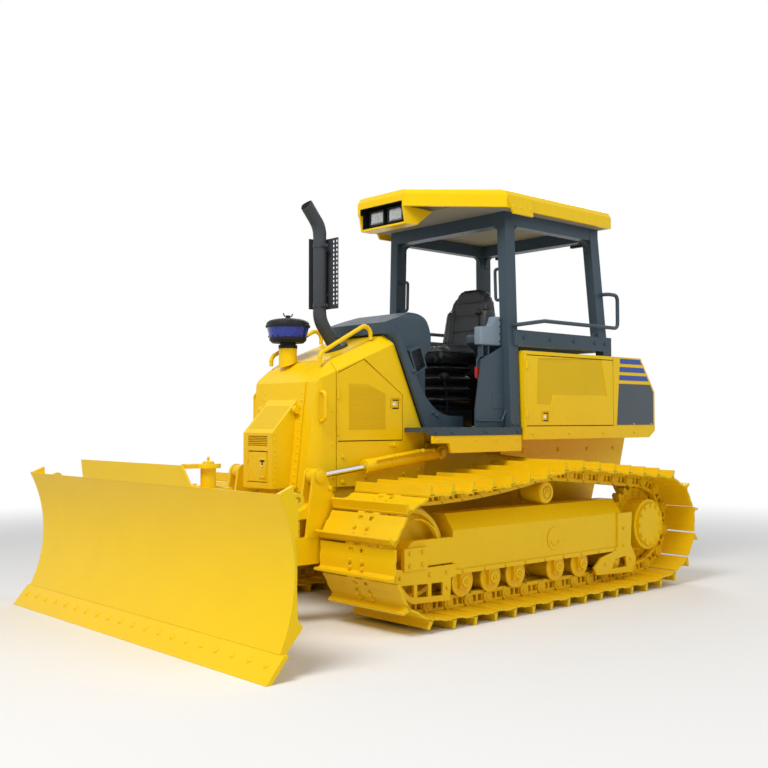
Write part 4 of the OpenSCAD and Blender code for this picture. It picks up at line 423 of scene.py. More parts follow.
def shoe(bm, matrix, pitch):
    """One shoe from its pin on: a lug, a flat with four bolts and a dropped strip with two mud slots."""
    half = SHOE_W / 2
    flat, dropped = SHOE_RISE, SHOE_RISE - 0.6 * SHOE_T
    stations = [(-0.05 * pitch, flat), (0.10 * pitch, flat), (0.56 * pitch, flat), (0.66 * pitch, dropped),
                (0.76 * pitch, dropped), (0.90 * pitch, dropped), (1.0 * pitch, dropped - 0.2 * SHOE_T)]
    ys = [-half, -SLOT_YS[1], -SLOT_YS[0], SLOT_YS[0], SLOT_YS[1], half]
    grid_plate(bm, matrix, stations, ys, SHOE_T, holes=((4, 1), (4, 3)))
    across = matrix @ frame_at((0, 0, 0), (0, 1, 0), FORWARD)
    lean = LUG_LEAN * LUG_H
    tip = SHOE_RISE + LUG_H
    prism(bm, across, [(-0.4 * LUG_T, -flat + 0.3 * SHOE_T), (lean, -tip), (lean + LUG_T, -tip),
                       (1.5 * LUG_T, -flat - 0.2 * LUG_H), (2.4 * LUG_T, -flat + 0.3 * SHOE_T)], -half, half)
    for x in (0.24 * pitch, 0.48 * pitch):
        for y in (-BOLT_Y, BOLT_Y):
            bolt(bm, matrix @ Vector((x, y, flat)), matrix.to_3x3() @ Vector(UP), BOLT_R)


def link(bm, matrix, pitch, y, outward):
    """One link of a row: rail, pads, posts round two windows, and bosses for the pins."""
    low, high = y - LINK_W / 2, y + LINK_W / 2
    foot = SHOE_RISE - SHOE_T
    block(bm, (-0.16 * pitch, low, -LINK_RISE), (0.95 * pitch, high, -0.45 * LINK_RISE), 0.004, 2, matrix)
    block(bm, (0.16 * pitch, low, 0.5 * foot), (0.84 * pitch, high, foot), 0.003, 1, matrix)
    for share in (0.20, 0.5, 0.80):
        block(bm, ((share - 0.06) * pitch, low + 0.004, -0.6 * LINK_RISE),
              ((share + 0.06) * pitch, high - 0.004, 0.8 * foot), 0.003, 1, matrix)
    for x, side in ((0.0, outward), (pitch, -outward)):
        seat = matrix @ frame_at((x, y + side * 0.25 * LINK_W, 0), (0, side, 0))
        lathe(bm, seat, [(BOSS_R, -0.75 * LINK_W), (BOSS_R, 0.42 * LINK_W), (0.9 * BOSS_R, 0.5 * LINK_W),
                         (1.15 * PIN_R, 0.5 * LINK_W), (PIN_R, 0.42 * LINK_W), (PIN_R, 0.54 * LINK_W),
                         (0.5 * PIN_R, 0.58 * LINK_W), (0.0, 0.52 * LINK_W)], 20)


def track(name, side):
    bm = bmesh.new()
    pins = pin_places()
    for i, pin in enumerate(pins):
        ahead = pins[(i + 1) % SHOE_COUNT] - pin
        run = Vector((ahead.x, 0.0, ahead.y)).normalized()
        out = Vector((run.z, 0.0, -run.x))
        matrix = Matrix((run, out.cross(run), out)).transposed().to_4x4()
        matrix.translation = at(pin.x, side * GAUGE / 2, pin.y)
        shoe(bm, matrix, ahead.length)
        for row in (-1, 1):
            link(bm, matrix, ahead.length, row * LINK_GAP / 2, row)
        lathe(bm, matrix @ frame_at((0, -LINK_GAP / 2, 0), (0, 1, 0)), [(BUSH_R, 0.0), (BUSH_R, LINK_GAP)], 14)
    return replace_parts(add_piece(name + "_detailed", bm, "tractor", "track_yellow"), name)


track("track_left", 1)
track("track_right", -1)


# Fittings are seated on the solids: a ray from outside finds the face that carries each one

AHEAD = 3.95
ASIDE = 1.5
ABOVE = 3.2
FACES = {}


def touch(node, start, aim):
    """Where a ray from a point first meets a node, and the outward normal there."""
    if node not in FACES:
        mesh = nodes[node].data
        FACES[node] = BVHTree.FromPolygons([v.co for v in mesh.vertices], [p.vertices for p in mesh.polygons])
    aim = Vector(aim).normalized()
    place, normal, _, _ = FACES[node].ray_cast(Vector(start), aim)
    if place is None:
        raise ValueError(f"no face of {node} along the ray from {tuple(start)}")
    return place, normal if normal.dot(aim) < 0 else -normal


def side_spot(node, side, x, z):
    """The outermost point of a node on one side at an x and a z."""
    return touch(node, at(x, side * ASIDE, z), (0, -side, 0))[0]


def spaced(first, last, count):
    """A row of points from one point to another."""
    first, last = Vector(first), Vector(last)
    return [first.lerp(last, i / (count - 1)) for i in range(count)]


def heads(bm, node, starts, aim, r, rise=None, axis=None):
    """Heads where rays meet a node: domes if a rise is given, else bolts, along the face's normal or an axis."""
    for start in starts:
        place, normal = touch(node, start, aim)
        if rise:
            dome(bm, place, axis or normal, r, rise)
        else:
            bolt(bm, place, axis or normal, r)


def side_heads(bm, node, side, spots, r, rise=None, axis=None):
    """Heads on one side of a node at spots of x and z."""
    heads(bm, node, [at(x, side * ASIDE, z) for x, z in spots], (0, -side, 0), r, rise, axis)


def ring_of(place, axis, r, count, start=0.0):
    """Points round an axis."""
    seat = frame_at(place, axis)
    return [seat @ Vector((r * math.cos(a), r * math.sin(a), 0.0)) for a in circle(count, start)]


# Blade and push frame

def blade_fittings():
    bm = bmesh.new()
    heads(bm, "cutting_edge", spaced(at(AHEAD, -1.30, 0.072), at(AHEAD, 1.30, 0.072), 20), BACK, 0.017, 0.4)
    heads(bm, "blade", [at(3.2, side * y, 0.30) for side, _ in SIDES for y in (0.15, 0.33, 0.51)], FORWARD, 0.012, 0.4)
    top, up = touch("blade", at(3.48, 0.575, 1.2), DOWN)
    lathe(bm, frame_at(top, up), [(0.030, 0.0), (0.030, 0.010), (0.024, 0.014), (0.0, 0.014)], 20)
    lathe(bm, frame_at(top + up * 0.014, up), [
        (0.006, 0.0), (0.006, 0.012), (0.009, 0.014), (0.004, 0.024), (0.0, 0.024)], 10)
    add_piece("blade_fittings", bm, "blade", "blade_yellow")


PIVOT_X, PIVOT_Z, PIVOT_R = 1.555, 0.430, 0.044
LIFT_BASE, LIFT_PIN, LIFT_Y = (1.600, 0.965), (2.630, 0.845), 0.385
BESIDE_BORE = 0.038


def pin_end(bm, place, axis, r, rise):
    """The end of a pivot pin: a chamfered head with a bolted keeper plate."""
    seat = frame_at(place, axis)
    lathe(bm, seat, [(r, -0.002), (r, 0.7 * rise), (0.86 * r, rise), (0.0, rise)], 28)
    prism(bm, seat, [(-0.35 * r, -1.5 * r), (0.35 * r, -1.5 * r), (0.35 * r, 0.0), (-0.35 * r, 0.0)],
          -0.001, 0.5 * rise)
    bolt(bm, seat @ Vector((0.0, -1.1 * r, 0.5 * rise)), axis, 0.26 * r)


def push_frame_fittings():
    bm = bmesh.new()
    for side, _ in SIDES:
        out = Vector((0, side, 0))
        spot = side_spot("push_frame", side, PIVOT_X, PIVOT_Z + BESIDE_BORE)
        pin_end(bm, Vector((spot.x, spot.y, PIVOT_Z)), out, PIVOT_R, 0.014)
        spot = side_spot("push_frame", side, LIFT_PIN[0], LIFT_PIN[1] + BESIDE_BORE)
        lathe(bm, frame_at(Vector((spot.x, spot.y, LIFT_PIN[1])), out), [
            (0.034, -0.002), (0.034, 0.004), (0.029, 0.006), (0.0, 0.006)], 28)
        side_heads(bm, "push_frame", side, [(2.558, 0.775)], 0.014, 0.4, out)
        side_heads(bm, "push_frame", side, [(x, 0.42) for x in (1.75, 1.9, 2.1, 2.3)], 0.008, 0.4, out)
    add_piece("push_frame_fittings", bm, "push_frame", "body_yellow")


blade_fittings()
push_frame_fittings()


# Cylinders: a steel pipe along each barrel with its clamps, and a painted sleeve on each lift rod's eye

def cylinder_pipe(name, body, base, pin, length, r, lift, pipe_r, band_shares, port_shares):
    """A pipe beside a barrel from a port near its base to a port near its gland, held by two bands."""
    bm = bmesh.new()
    run = (pin - base).normalized()
    end = base + run * length
    up = Vector(lift)
    up = (up - run * up.dot(run)).normalized()
    rise, sunk = r + 1.6 * pipe_r, 0.95 * r
    low, high = (base.lerp(end, s) for s in port_shares)
    tube(bm, bent([low + up * sunk, low + up * rise, high + up * rise, high + up * sunk], 3 * pipe_r), pipe_r, 10)
    for port in (low, high):
        lathe(bm, frame_at(port + up * sunk, up), [
            (1.9 * pipe_r, 0.0), (1.9 * pipe_r, 0.10 * r), (1.5 * pipe_r, 0.16 * r), (1.5 * pipe_r, 0.26 * r),
            (0.0, 0.26 * r)], 6)
    for share in band_shares:
        seat = frame_at(base.lerp(end, share), run, up)
        lathe(bm, seat, [(1.001 * r, -0.010), (1.05 * r, -0.010), (1.05 * r, 0.010), (1.001 * r, 0.010)], 32, True)
        clamp = rise + 1.25 * pipe_r
        block(bm, (0.98 * r, -1.5 * pipe_r, -0.009), (clamp, 1.5 * pipe_r, 0.009), 0.002, 1, seat)
        bolt(bm, seat @ Vector((clamp, 0, 0)), up, 0.007)
    add_piece(name, bm, body, "body_yellow")


EYE_R, EYE_HALF, EYE_BORE = 0.0468, 0.0278, 0.030
for side, name in SIDES:
    y = side * LIFT_Y
    cylinder_pipe(f"lift_pipe_{name}", f"lift_barrel_{name}", at(LIFT_BASE[0], y, LIFT_BASE[1]),
                  at(LIFT_PIN[0], y, LIFT_PIN[1]), 0.62, 0.043, (0, side * 0.8, 0.6), 0.009, (0.30, 0.72), (0.13, 0.93))
    cylinder_pipe(f"angle_pipe_{name}", f"angle_barrel_{name}", at(2.785, y, 0.566), at(3.425, side * 0.330, 0.566),
                  0.38, 0.040, (0, side * 0.5, 0.9), 0.008, (0.45, 0.75), (0.30, 0.92))
cylinder_pipe("tilt_pipe", "tilt_barrel", at(3.430, 0.070, 0.800), at(3.430, 0.560, 0.760), 0.30, 0.036,
              (-0.6, 0, 0.8), 0.008, (0.5, 0.8), (0.30, 0.92))
for side, name in SIDES:
    bm = bmesh.new()
    lathe(bm, frame_at(at(LIFT_PIN[0], side * LIFT_Y, LIFT_PIN[1]), (0, 1, 0)), [
        (EYE_BORE, -EYE_HALF), (EYE_R, -EYE_HALF), (EYE_R, EYE_HALF), (EYE_BORE, EYE_HALF)], 36, True)
    add_piece(f"lift_eye_{name}", bm, f"lift_rod_{name}", "body_yellow")


# Undercarriage: covers, plugs and the bolts that hold them

ROLLER_SHARES = (0.163, 0.326, 0.437, 0.611, 0.712, 0.821)
ROLLER_R = 0.075
ROLLER_Z = PIN_LOW + LINK_RISE + ROLLER_R
COVER_R, SPROCKET_BOLT_R = 0.134, 0.214
PATCH_SHARE, PATCH_Z, PATCH_R = 0.458, 0.268 + 0.258 * 0.54, 0.045
FRAME_BOLTS = ((0.30, 0.42), (0.30, 0.30), (0.225, 0.20), (0.52, 0.19), (2.065, 0.20), (2.07, 0.29), (2.21, 0.29),
               (2.44, 0.29))


def undercarriage_fittings():
    bm = bmesh.new()
    for side, _ in SIDES:
        out = Vector((0, side, 0))
        hub = at(0.0, side * ASIDE, AXLE.z)
        heads(bm, "sprockets", ring_of(hub, out, COVER_R, 12), -out, 0.012)
        heads(bm, "sprockets", ring_of(hub, out, SPROCKET_BOLT_R, 16, 0.1), -out, 0.012)
        for share in ROLLER_SHARES:
            place = side_spot("track_rollers", side, WHEELBASE * share, ROLLER_Z)
            lathe(bm, frame_at(place, out), [(0.034, -0.001), (0.034, 0.008), (0.029, 0.012), (0.019, 0.012),
                                             (0.017, 0.006), (0.0, 0.006)], 24)
            bolt(bm, place + out * 0.006, out, 0.009)
        carrier = at(WHEELBASE * CARRIER_SHARE, side * ASIDE, CARRIER_Z)
        heads(bm, "track_rollers", [carrier], -out, 0.018, 0.5, out)
        heads(bm, "track_rollers", ring_of(carrier, out, 0.029, 3), -out, 0.005)
        patch = side_spot("track_frames", side, WHEELBASE * PATCH_SHARE, PATCH_Z)
        tube(bm, [patch + out * 0.001 + Vector((PATCH_R * math.cos(a), 0, PATCH_R * math.sin(a)))
                  for a in degrees(*range(200, 341, 20))], 0.006, 8)
        side_heads(bm, "track_frames", side, [(WHEELBASE * 1.009 + dx, IDLER.z * 0.94 + dz) for dx in (-0.05, 0.05)
                                              for dz in (-0.035, 0.035)], 0.011, axis=out)
        side_heads(bm, "track_frames", side, [(0.40 + 1.53 * i / 8, 0.281) for i in range(9)], 0.008, axis=out)
        side_heads(bm, "track_frames", side, FRAME_BOLTS, 0.010, axis=out)
    add_piece("undercarriage_fittings", bm, "tractor", "body_yellow")


undercarriage_fittings()


# Seat: padded cushions with piping, on a bellows of soft folds

VOXEL = 0.006
CLOTH_FRAMES = 20
CLOTH_PRESSURE = 4.0
SEAM_W = 0.009
PIPING_R = 0.004


def evaluated(made):
    return bpy.data.meshes.new_from_object(made.evaluated_get(bpy.context.evaluated_depsgraph_get()))


def stuffed(name, bm, cap, grooves):
    """A closed form remeshed, swollen as cloth by no more than a cap, and drawn in along its sewn grooves.

    Each groove has a function that gives a point's distance from the seam, and a depth.
    """
    mesh = bpy.data.meshes.new(name)
    bm.to_mesh(mesh)
    bm.free()
    made = bpy.data.objects.new(name, mesh)
    scene.collection.objects.link(made)
    remesh = made.modifiers.new("remesh", "REMESH")
    remesh.mode = "VOXEL"
    remesh.voxel_size = VOXEL
    dense = evaluated(made)
    made.modifiers.clear()
    made.data = dense
    start = [v.co.copy() for v in dense.vertices]
    cloth = made.modifiers.new("cloth", "CLOTH")
    cloth.settings.use_pressure = True
    cloth.settings.uniform_pressure_force = CLOTH_PRESSURE
    cloth.settings.effector_weights.gravity = 0.0
    cloth.point_cache.frame_end = CLOTH_FRAMES
    for i in range(1, CLOTH_FRAMES + 1):
        scene.frame_set(i)
    swollen = evaluated(made)
    made.modifiers.clear()
    scene.frame_set(1)
    made.data = swollen
    mesh = made.data
    mesh.name = name
    normals = [v.normal.copy() for v in mesh.vertices]
    for v, first, normal in zip(mesh.vertices, start, normals):
        move = v.co - first
        if move.length > cap:
            v.co = first + move.normalized() * cap
        for distance, depth in grooves:
            reach = distance(v.co) / SEAM_W
            if reach < 3.0:
                v.co -= normal * depth * math.exp(-reach * reach)
    smooth = made.modifiers.new("smooth", "SUBSURF")
    smooth.levels = smooth.render_levels = 1
    mesh.materials.clear()
    mesh.materials.append(MATERIALS["seat_vinyl"])
    mesh.shade_smooth()
    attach(made, "tractor")
    return made


def piping(name, made, path):
    """A corded seam laid on a stuffed form along a path near its surface."""
    tree = BVHTree.FromPolygons([v.co for v in made.data.vertices], [p.vertices for p in made.data.polygons])
    line = []
    for p in path:
        place, normal, _, _ = tree.find_nearest(Vector(p))
        line.append(place + normal * 0.4 * PIPING_R)
    bm = bmesh.new()
    tube(bm, line, PIPING_R, 8)
    add_piece(name, bm, "tractor", "seat_vinyl")


def round_path(x0, x1, half, z, r, steps=8):
    """A closed path round a rectangle with rounded corners, at one height."""
    points = []
    for cx, cy, start in ((x1 - r, half - r, 0), (x0 + r, half - r, 90), (x0 + r, r - half, 180),
                          (x1 - r, r - half, 270)):
        for a in degrees(*(start + 90 * i / steps for i in range(steps + 1))):
            points.append(Vector((cx + r * math.cos(a), cy + r * math.sin(a), z)))
    return points + points[:1]


def cushion():
    low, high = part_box("seat_cushion")
    half = high.y - 0.012
    rear, front, top = low.x + 0.008, high.x - 0.012, high.z - 0.012
    bolster = half - 0.100
    bm = bmesh.new()
    block(bm, (rear, -half, low.z + 0.006), (front, half, top), 0.030, 4)
    for side, _ in SIDES:
        block(bm, (rear + 0.02, side * (half - 0.095), low.z + 0.02),
              (front - 0.10, side * half, top + 0.020), 0.034, 4)
    grooves = [(lambda p: abs(abs(p.y) - bolster) if p.z > top - 0.02 else 1.0, 0.007)]
    grooves += [(lambda p, x=x: abs(p.x - x) if p.z > top - 0.02 and abs(p.y) < bolster else 1.0, 0.005)
                for x in (rear + 0.16, rear + 0.29)]
    made = stuffed("seat_cushion_padded", bm, 0.016, grooves)
    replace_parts(made, "seat_cushion")
    piping("seat_piping", made, round_path(rear + 0.006, front - 0.006, half - 0.004, top - 0.022, 0.04))


def backrest():
    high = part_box("seat_back")[1]
    stand = Matrix.Translation((high.x - 0.055, 0.0, 1.675)) @ Matrix.Rotation(-math.atan2(0.090, 0.480), 4, "Y")
    upright = stand @ Matrix(((0, 0, 1, 0), (1, 0, 0, 0), (0, 1, 0, 0), (0, 0, 0, 1)))
    half, deep = high.y - 0.014, 0.040
    bolster = half - 0.09
    outline = [(-half + 0.01, 0.0), (half - 0.01, 0.0), (half, 0.20), (half - 0.05, 0.37)]
    outline += [(half - 0.05 - 0.09 * (1 - math.cos(a)) - 0.02, 0.37 + 0.095 * math.sin(a))
                for a in degrees(30, 60, 90)]
    outline += [(-y, z) for y, z in reversed(outline[3:])] + [(-half, 0.20)]
    bm = bmesh.new()
    prism(bm, upright, outline, -deep, deep)
    for side in (-1, 1):
        block(bm, (-0.02, side * (half - 0.085), 0.03), (deep + 0.024, side * (half - 0.004), 0.30), 0.028, 4, stand)
    back = stand.inverted()

    def seam(gap):
        """The distance from a seam on the front side, from a point's place on the rest."""
        def distance(p):
            q = back @ p
            return gap(q) if q.x > 0 else 1.0
        return distance
    grooves = [(seam(lambda q: abs(abs(q.y) - bolster)), 0.007)]
    grooves += [(seam(lambda q, z=z: abs(q.z - z) if abs(q.y) < bolster else 1.0), 0.006) for z in (0.13, 0.25, 0.36)]
    made = stuffed("seat_back_padded", bm, 0.014, grooves)
    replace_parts(made, "seat_back")
    edge = [upright @ Vector((y * 0.985, z * 0.985 + 0.004, deep + 0.004)) for y, z in outline]
    line = []
    for a, b in zip(edge, edge[1:] + edge[:1]):
        line += [a.lerp(b, i / 6) for i in range(6)]
    piping("seat_back_piping", made, line + line[:1])


def bellows():
    """The seat's stand: a rubber bellows with rounded folds between two plates."""
    low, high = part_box("seat_suspension")
    cx = (low.x + high.x) / 2
    base = low.z + (high.z - low.z) * 2 / 6
    folds, inner, outer, corner = 4, 0.138, 0.176, 0.06
    bm = bmesh.new()
    rings = []
    steps = folds * 10
    for i in range(steps + 1):
        t = i / steps
        swell = 0.5 - 0.5 * math.cos(2 * math.pi * folds * t)
        half = inner + (outer - inner) * swell ** 0.7
        path = round_path(cx - half, cx + half, half, base + (high.z - base) * t, corner, 5)[:-1]
        rings.append([bm.verts.new(p) for p in path])
    bridge(bm, rings)
    block(bm, (cx - 0.15, -0.15, base - 0.03), (cx + 0.15, 0.15, base + 0.004), 0.008, 2)
    block(bm, (cx - 0.164, -0.164, low.z), (cx + 0.164, 0.164, base - 0.03), 0.012, 2)
    tube(bm, bent([(cx + x, y, base - 0.06) for x, y in ((0.164, -0.07), (0.205, -0.07), (0.205, 0.07), (0.164, 0.07))],
                  0.02), 0.006, 10)
    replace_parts(add_piece("seat_bellows", bm, "tractor", "bellows_rubber"), "seat_suspension")


cushion()
backrest()
bellows()


# Controls: levers with boots, a ball-topped lever, a red-tipped catch, consoles, gauges and a net

def ball(r, *angles):
    return [(r * math.cos(a), r * math.sin(a)) for a in degrees(*angles)]


def knob_lever(bm, foot, tip, r, knob):
    axis = tip - foot
    top = axis.length
    lathe(bm, frame_at(foot, axis), [
        (0.040, 0.0), (0.042, 0.008), (0.034, 0.016), (0.036, 0.024), (0.027, 0.032), (0.029, 0.040), (0.018, 0.052),
        (r, 0.056), (r, top - 0.8 * knob), (0.6 * knob, top - 0.75 * knob)]
        + [(x, top + z) for x, z in ball(knob, -40, -10, 20, 50, 75)] + [(0.0, top + knob)], 20)


GRIP = ((0.080, 0.017, 0.015, 0.0), (0.095, 0.024, 0.019, 0.002), (0.120, 0.021, 0.018, 0.004),
        (0.145, 0.023, 0.019, 0.004), (0.165, 0.028, 0.022, 0.008), (0.182, 0.027, 0.022, 0.014),
        (0.192, 0.018, 0.016, 0.018))


def joystick(bm, foot):
    """A boot, a stem and a shaped grip with a thumb switch."""
    lathe(bm, frame_at(foot, UP), [
        (0.050, 0.0), (0.052, 0.008), (0.040, 0.018), (0.043, 0.026), (0.031, 0.036), (0.033, 0.044), (0.018, 0.056),
        (0.013, 0.070), (0.013, 0.085)], 20)
    bridge(bm, [[bm.verts.new(foot + Vector((dx + rx * math.cos(a), ry * math.sin(a), z))) for a in circle(18)]
                for z, rx, ry, dx in GRIP])
    dome(bm, foot + Vector((0.020, 0.0, 0.190)), (0.3, 0, 1), 0.009, 0.8)


def controls():
    low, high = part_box("levers")
    x, y = (low.x + high.x) / 2, high.y - 0.026
    bm = bmesh.new()
    knob_lever(bm, Vector((x, y, low.z)), Vector((x + 0.01, y, high.z - 0.026)), 0.010, 0.026)
    joystick(bm, Vector((x, -y, low.z)))
    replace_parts(add_piece("control_levers", bm, "tractor", "trim_black"), "levers")

    bm = bmesh.new()
    for side, _ in SIDES:
        block(bm, at(1.055, side * 0.385 - 0.055, 1.760), at(1.170, side * 0.385 + 0.055, 1.792), 0.012, 3)
    foot = at(1.29, 0.16, 1.129)
    tube(bm, bent([foot, foot + Vector((0.0, 0, 0.20)), foot + Vector((0.03, 0, 0.33))], 0.1), 0.010, 10)
    lathe(bm, frame_at(foot + Vector((0.03, 0, 0.345)), UP), [
        (0.012, -0.040)] + ball(0.036, -65, -40, -15, 10, 35, 60, 80) + [(0.0, 0.036)], 24)
    add_piece("arm_pads", bm, "tractor", "trim_black")

    bm = bmesh.new()
    tube(bm, bent([at(x, 0.502, z) for x, z in ((1.262, 1.593), (1.340, 1.588), (1.356, 1.570), (1.358, 1.500))], 0.02),
         0.006, 10)
    add_piece("catch_rod", bm, "tractor", "frame_grey")
    bm = bmesh.new()
    lathe(bm, frame_at(at(1.358, 0.502, 1.528), DOWN), [
        (0.008, 0.0), (0.013, 0.004), (0.014, 0.04), (0.012, 0.074), (0.0, 0.078)], 16)
    add_piece("catch_grip", bm, "tractor", "trim_black", "signal_red")


def side_prism(bm, side, outline, inner, outer):
    """A plate of an outline in x and z, between two distances from the middle."""
    seat = frame_at(at(0, 0, 0), (0, side, 0), FORWARD)
    up = seat.to_3x3().col[1].z
    prism(bm, seat, [(x, up * z) for x, z in outline], inner, outer)


def moulded(bm, side, outline, inner, outer, round_by):
    """A side plate with its edges rounded."""
    part = bmesh.new()
    side_prism(part, side, outline, inner, outer)
    rounded(part, round_by, 3)
    merge(bm, part)


CONSOLE_YS = (0.300, 0.4695)
POD_YS = (0.4695, 0.534)
POD = ((1.150, 1.676), (1.350, 1.676), (1.350, 1.797), (1.232, 1.797), (1.214, 1.815), (1.208, 1.872), (1.150, 1.872))
WELL_TOP = 1.640


def consoles():
    """Consoles beside the seat: the left one ends early, so that the seat shows past it, below the light pods."""
    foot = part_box("consoles")[0].z
    bm = bmesh.new()
    moulded(bm, 1, [(1.046, foot), (1.110, foot), (1.140, 1.640), (1.245, 1.700), (1.245, 1.745), (1.230, 1.760),
                    (1.046, 1.760)], *CONSOLE_YS, 0.008)
    moulded(bm, -1, [(1.046, foot), (1.225, foot), (1.330, 1.690), (1.225, 1.760), (1.046, 1.760)], *CONSOLE_YS, 0.012)
    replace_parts(add_piece("consoles_moulded", bm, "tractor", "frame_grey"), "consoles")
    pods, brackets, dark_sheets = bmesh.new(), bmesh.new(), bmesh.new()
    # Thin black sheets round the seat well: painted shade
    block(dark_sheets, at(0.8305, -0.298, foot + 0.002), at(0.834, 0.298, WELL_TOP))
    for side, _ in SIDES:
        moulded(pods, side, POD, *POD_YS, 0.009)
        for z in (1.705, 1.755, 1.805, 1.850):
            dome(brackets, at(1.166, side * POD_YS[1], z), (0, side, 0), 0.007, 0.6)
        for x in (1.262, 1.322):
            block(brackets, at(x - 0.006, side * 0.482, 1.596), at(x + 0.006, side * 0.524, 1.680), 0.002, 1)
        block(brackets, at(1.246, side * 0.484, 1.594), at(1.330, side * 0.520, 1.602), 0.002, 1)
        # More black sheets of painted shade, on the well's sides and over the gap behind the consoles
        for x0, x1, y0, y1 in ((0.834, 1.034, 0.2955, 0.2995), (1.0305, 1.034, 0.2995, 0.464)):
            block(dark_sheets, at(x0, side * y0, foot + 0.002), at(x1, side * y1, WELL_TOP))
    add_piece("console_pods", pods, "tractor", "console_grey")
    add_piece("pod_brackets", brackets, "tractor", "frame_grey")
    add_piece("seat_well_painted_shade", dark_sheets, "tractor", "trim_black")


NET = ((1.806, 1.615), (1.727, 1.643), (1.685, 1.527), (1.757, 1.487))
NET_Y, NET_BELLY, NET_R = 0.347, 0.016, 0.0016
NET_CELLS, CORD_STEPS = 9, 8


def net():
    """A net over the box on the dash, bellied outwards between its corners."""
    corners = [at(x, NET_Y, z) for x, z in NET]
    bm = bmesh.new()

    def spot(u, v):
        p = corners[0].lerp(corners[1], u).lerp(corners[3].lerp(corners[2], u), v)
        return p + Vector((0, NET_BELLY * 16 * u * (1 - u) * v * (1 - v) - 0.001, 0))
    for i in range(NET_CELLS + 1):
        t = i / NET_CELLS
        tube(bm, [spot(t, k / CORD_STEPS) for k in range(CORD_STEPS + 1)], NET_R, 5)
        tube(bm, [spot(k / CORD_STEPS, t) for k in range(CORD_STEPS + 1)], NET_R, 5)
    add_piece("dash_net", bm, "tractor", "trim_black")


def gauges():
    bm, faces, switches = bmesh.new(), bmesh.new(), bmesh.new()
    for y, r in ((-0.17, 0.034), (-0.075, 0.044), (0.045, 0.044), (0.15, 0.034)):
        seat = frame_at(*touch("dash_cowl", at(1.40, y, 2.05), (1, 0, -1.2)))
        lathe(bm, seat, [(r, -0.02), (r, 0.004), (0.96 * r, 0.009), (0.86 * r, 0.009), (0.84 * r, 0.003),
                         (0.0, 0.003)], 32)
        lathe(faces, seat, [(0.83 * r, 0.0032), (0.83 * r, 0.0036), (0.0, 0.0036)], 32)
        for a in degrees(*range(-30, 211, 30)):
            block(bm, (0.68 * r, -0.0007, 0.0036), (0.80 * r, 0.0007, 0.0042), matrix=seat @ Matrix.Rotation(a, 4, "Z"))
        block(bm, (-0.1 * r, -0.001, 0.004), (0.62 * r, 0.001, 0.006), matrix=seat @ Matrix.Rotation(0.9 + y, 4, "Z"))
    for y in (-0.12, -0.06, 0.0, 0.06, 0.12):
        seat = frame_at(*touch("dash_cowl", at(1.40, y, 1.70), FORWARD))
        block(switches, (-0.015, -0.010, -0.004), (0.015, 0.010, 0.007), 0.003, 2, seat)
    add_piece("dash_gauges", bm, "tractor", "trim_black")
    add_piece("dash_dials", faces, "tractor", "console_grey")
    add_piece("dash_switches", switches, "tractor", "trim_black")


controls()
consoles()
net()
gauges()


# Bodywork: bolts, slats, mesh, stripes, latches and caps

PANEL_BOLTS = ((2.362, 0.951), (2.362, 0.800), (2.176, 0.823), (1.966, 1.017), (1.935, 1.017), (1.853, 0.830),
               (1.718, 0.851))
PANEL_HALF, PANEL_TALL, PANEL_R = 0.165, 0.026, 0.008


def hood_and_nose():
    bm = bmesh.new()
    for side, _ in SIDES:
        flange = side * 0.192
        heads(bm, "nose_guard", spaced(at(AHEAD, flange, 0.80), at(AHEAD, flange, 1.34), 13), BACK, 0.007, 0.7)
        side_heads(bm, "nose_guard", side, [(2.748, 0.80 + 0.29 * i / 9) for i in range(10)], 0.005, 0.7)
        heads(bm, "nose_cowl", [at(AHEAD, side * 0.120, 1.375)], BACK, 0.010)
        side_heads(bm, "side_panels", side, PANEL_BOLTS, 0.011)
        side_heads(bm, "side_panels", side, [(x, 1.050) for x in (1.10, 1.30, 1.50, 1.84)], 0.009, 0.6)
        side_heads(bm, "nose_cowl", side, [(2.445, z) for z in (0.83, 1.03, 1.23)], 0.008, 0.6)
    for node, x in (("hood", 2.10), ("nose_cowl", 2.45)):
        heads(bm, node, [at(x, y, ABOVE) for y in (-0.225, 0.225)], DOWN, 0.008, 0.6)
    add_piece("hood_fasteners", bm, "tractor", "body_yellow")

    # A bare raised panel on the cowl's sloped front, a little proud of it
    bm = bmesh.new()
    outline = round_path(-PANEL_TALL, PANEL_TALL, PANEL_HALF, 0.0, PANEL_R, 3)[:-1]
    seat = frame_at(*touch("nose_cowl", at(AHEAD, 0.0, 1.345), BACK), UP)
    prism(bm, seat, [(p.x, p.y) for p in outline], -0.001, 0.003)
    add_piece("nose_panel", bm, "tractor", "body_yellow")
    # A darker perforated sheet on the guard: painted shade seen through its holes
    bm = bmesh.new()
    seat = frame_at(*touch("nose_guard", at(AHEAD, 0.0, 1.194), BACK), UP)
    prism(bm, seat, [(-0.094, -0.125), (0.094, -0.125), (0.094, 0.125), (-0.094, 0.125)], -0.0005, 0.0012)
    add_piece("nose_mesh", bm, "tractor", "body_yellow", "perforated_painted_shade")


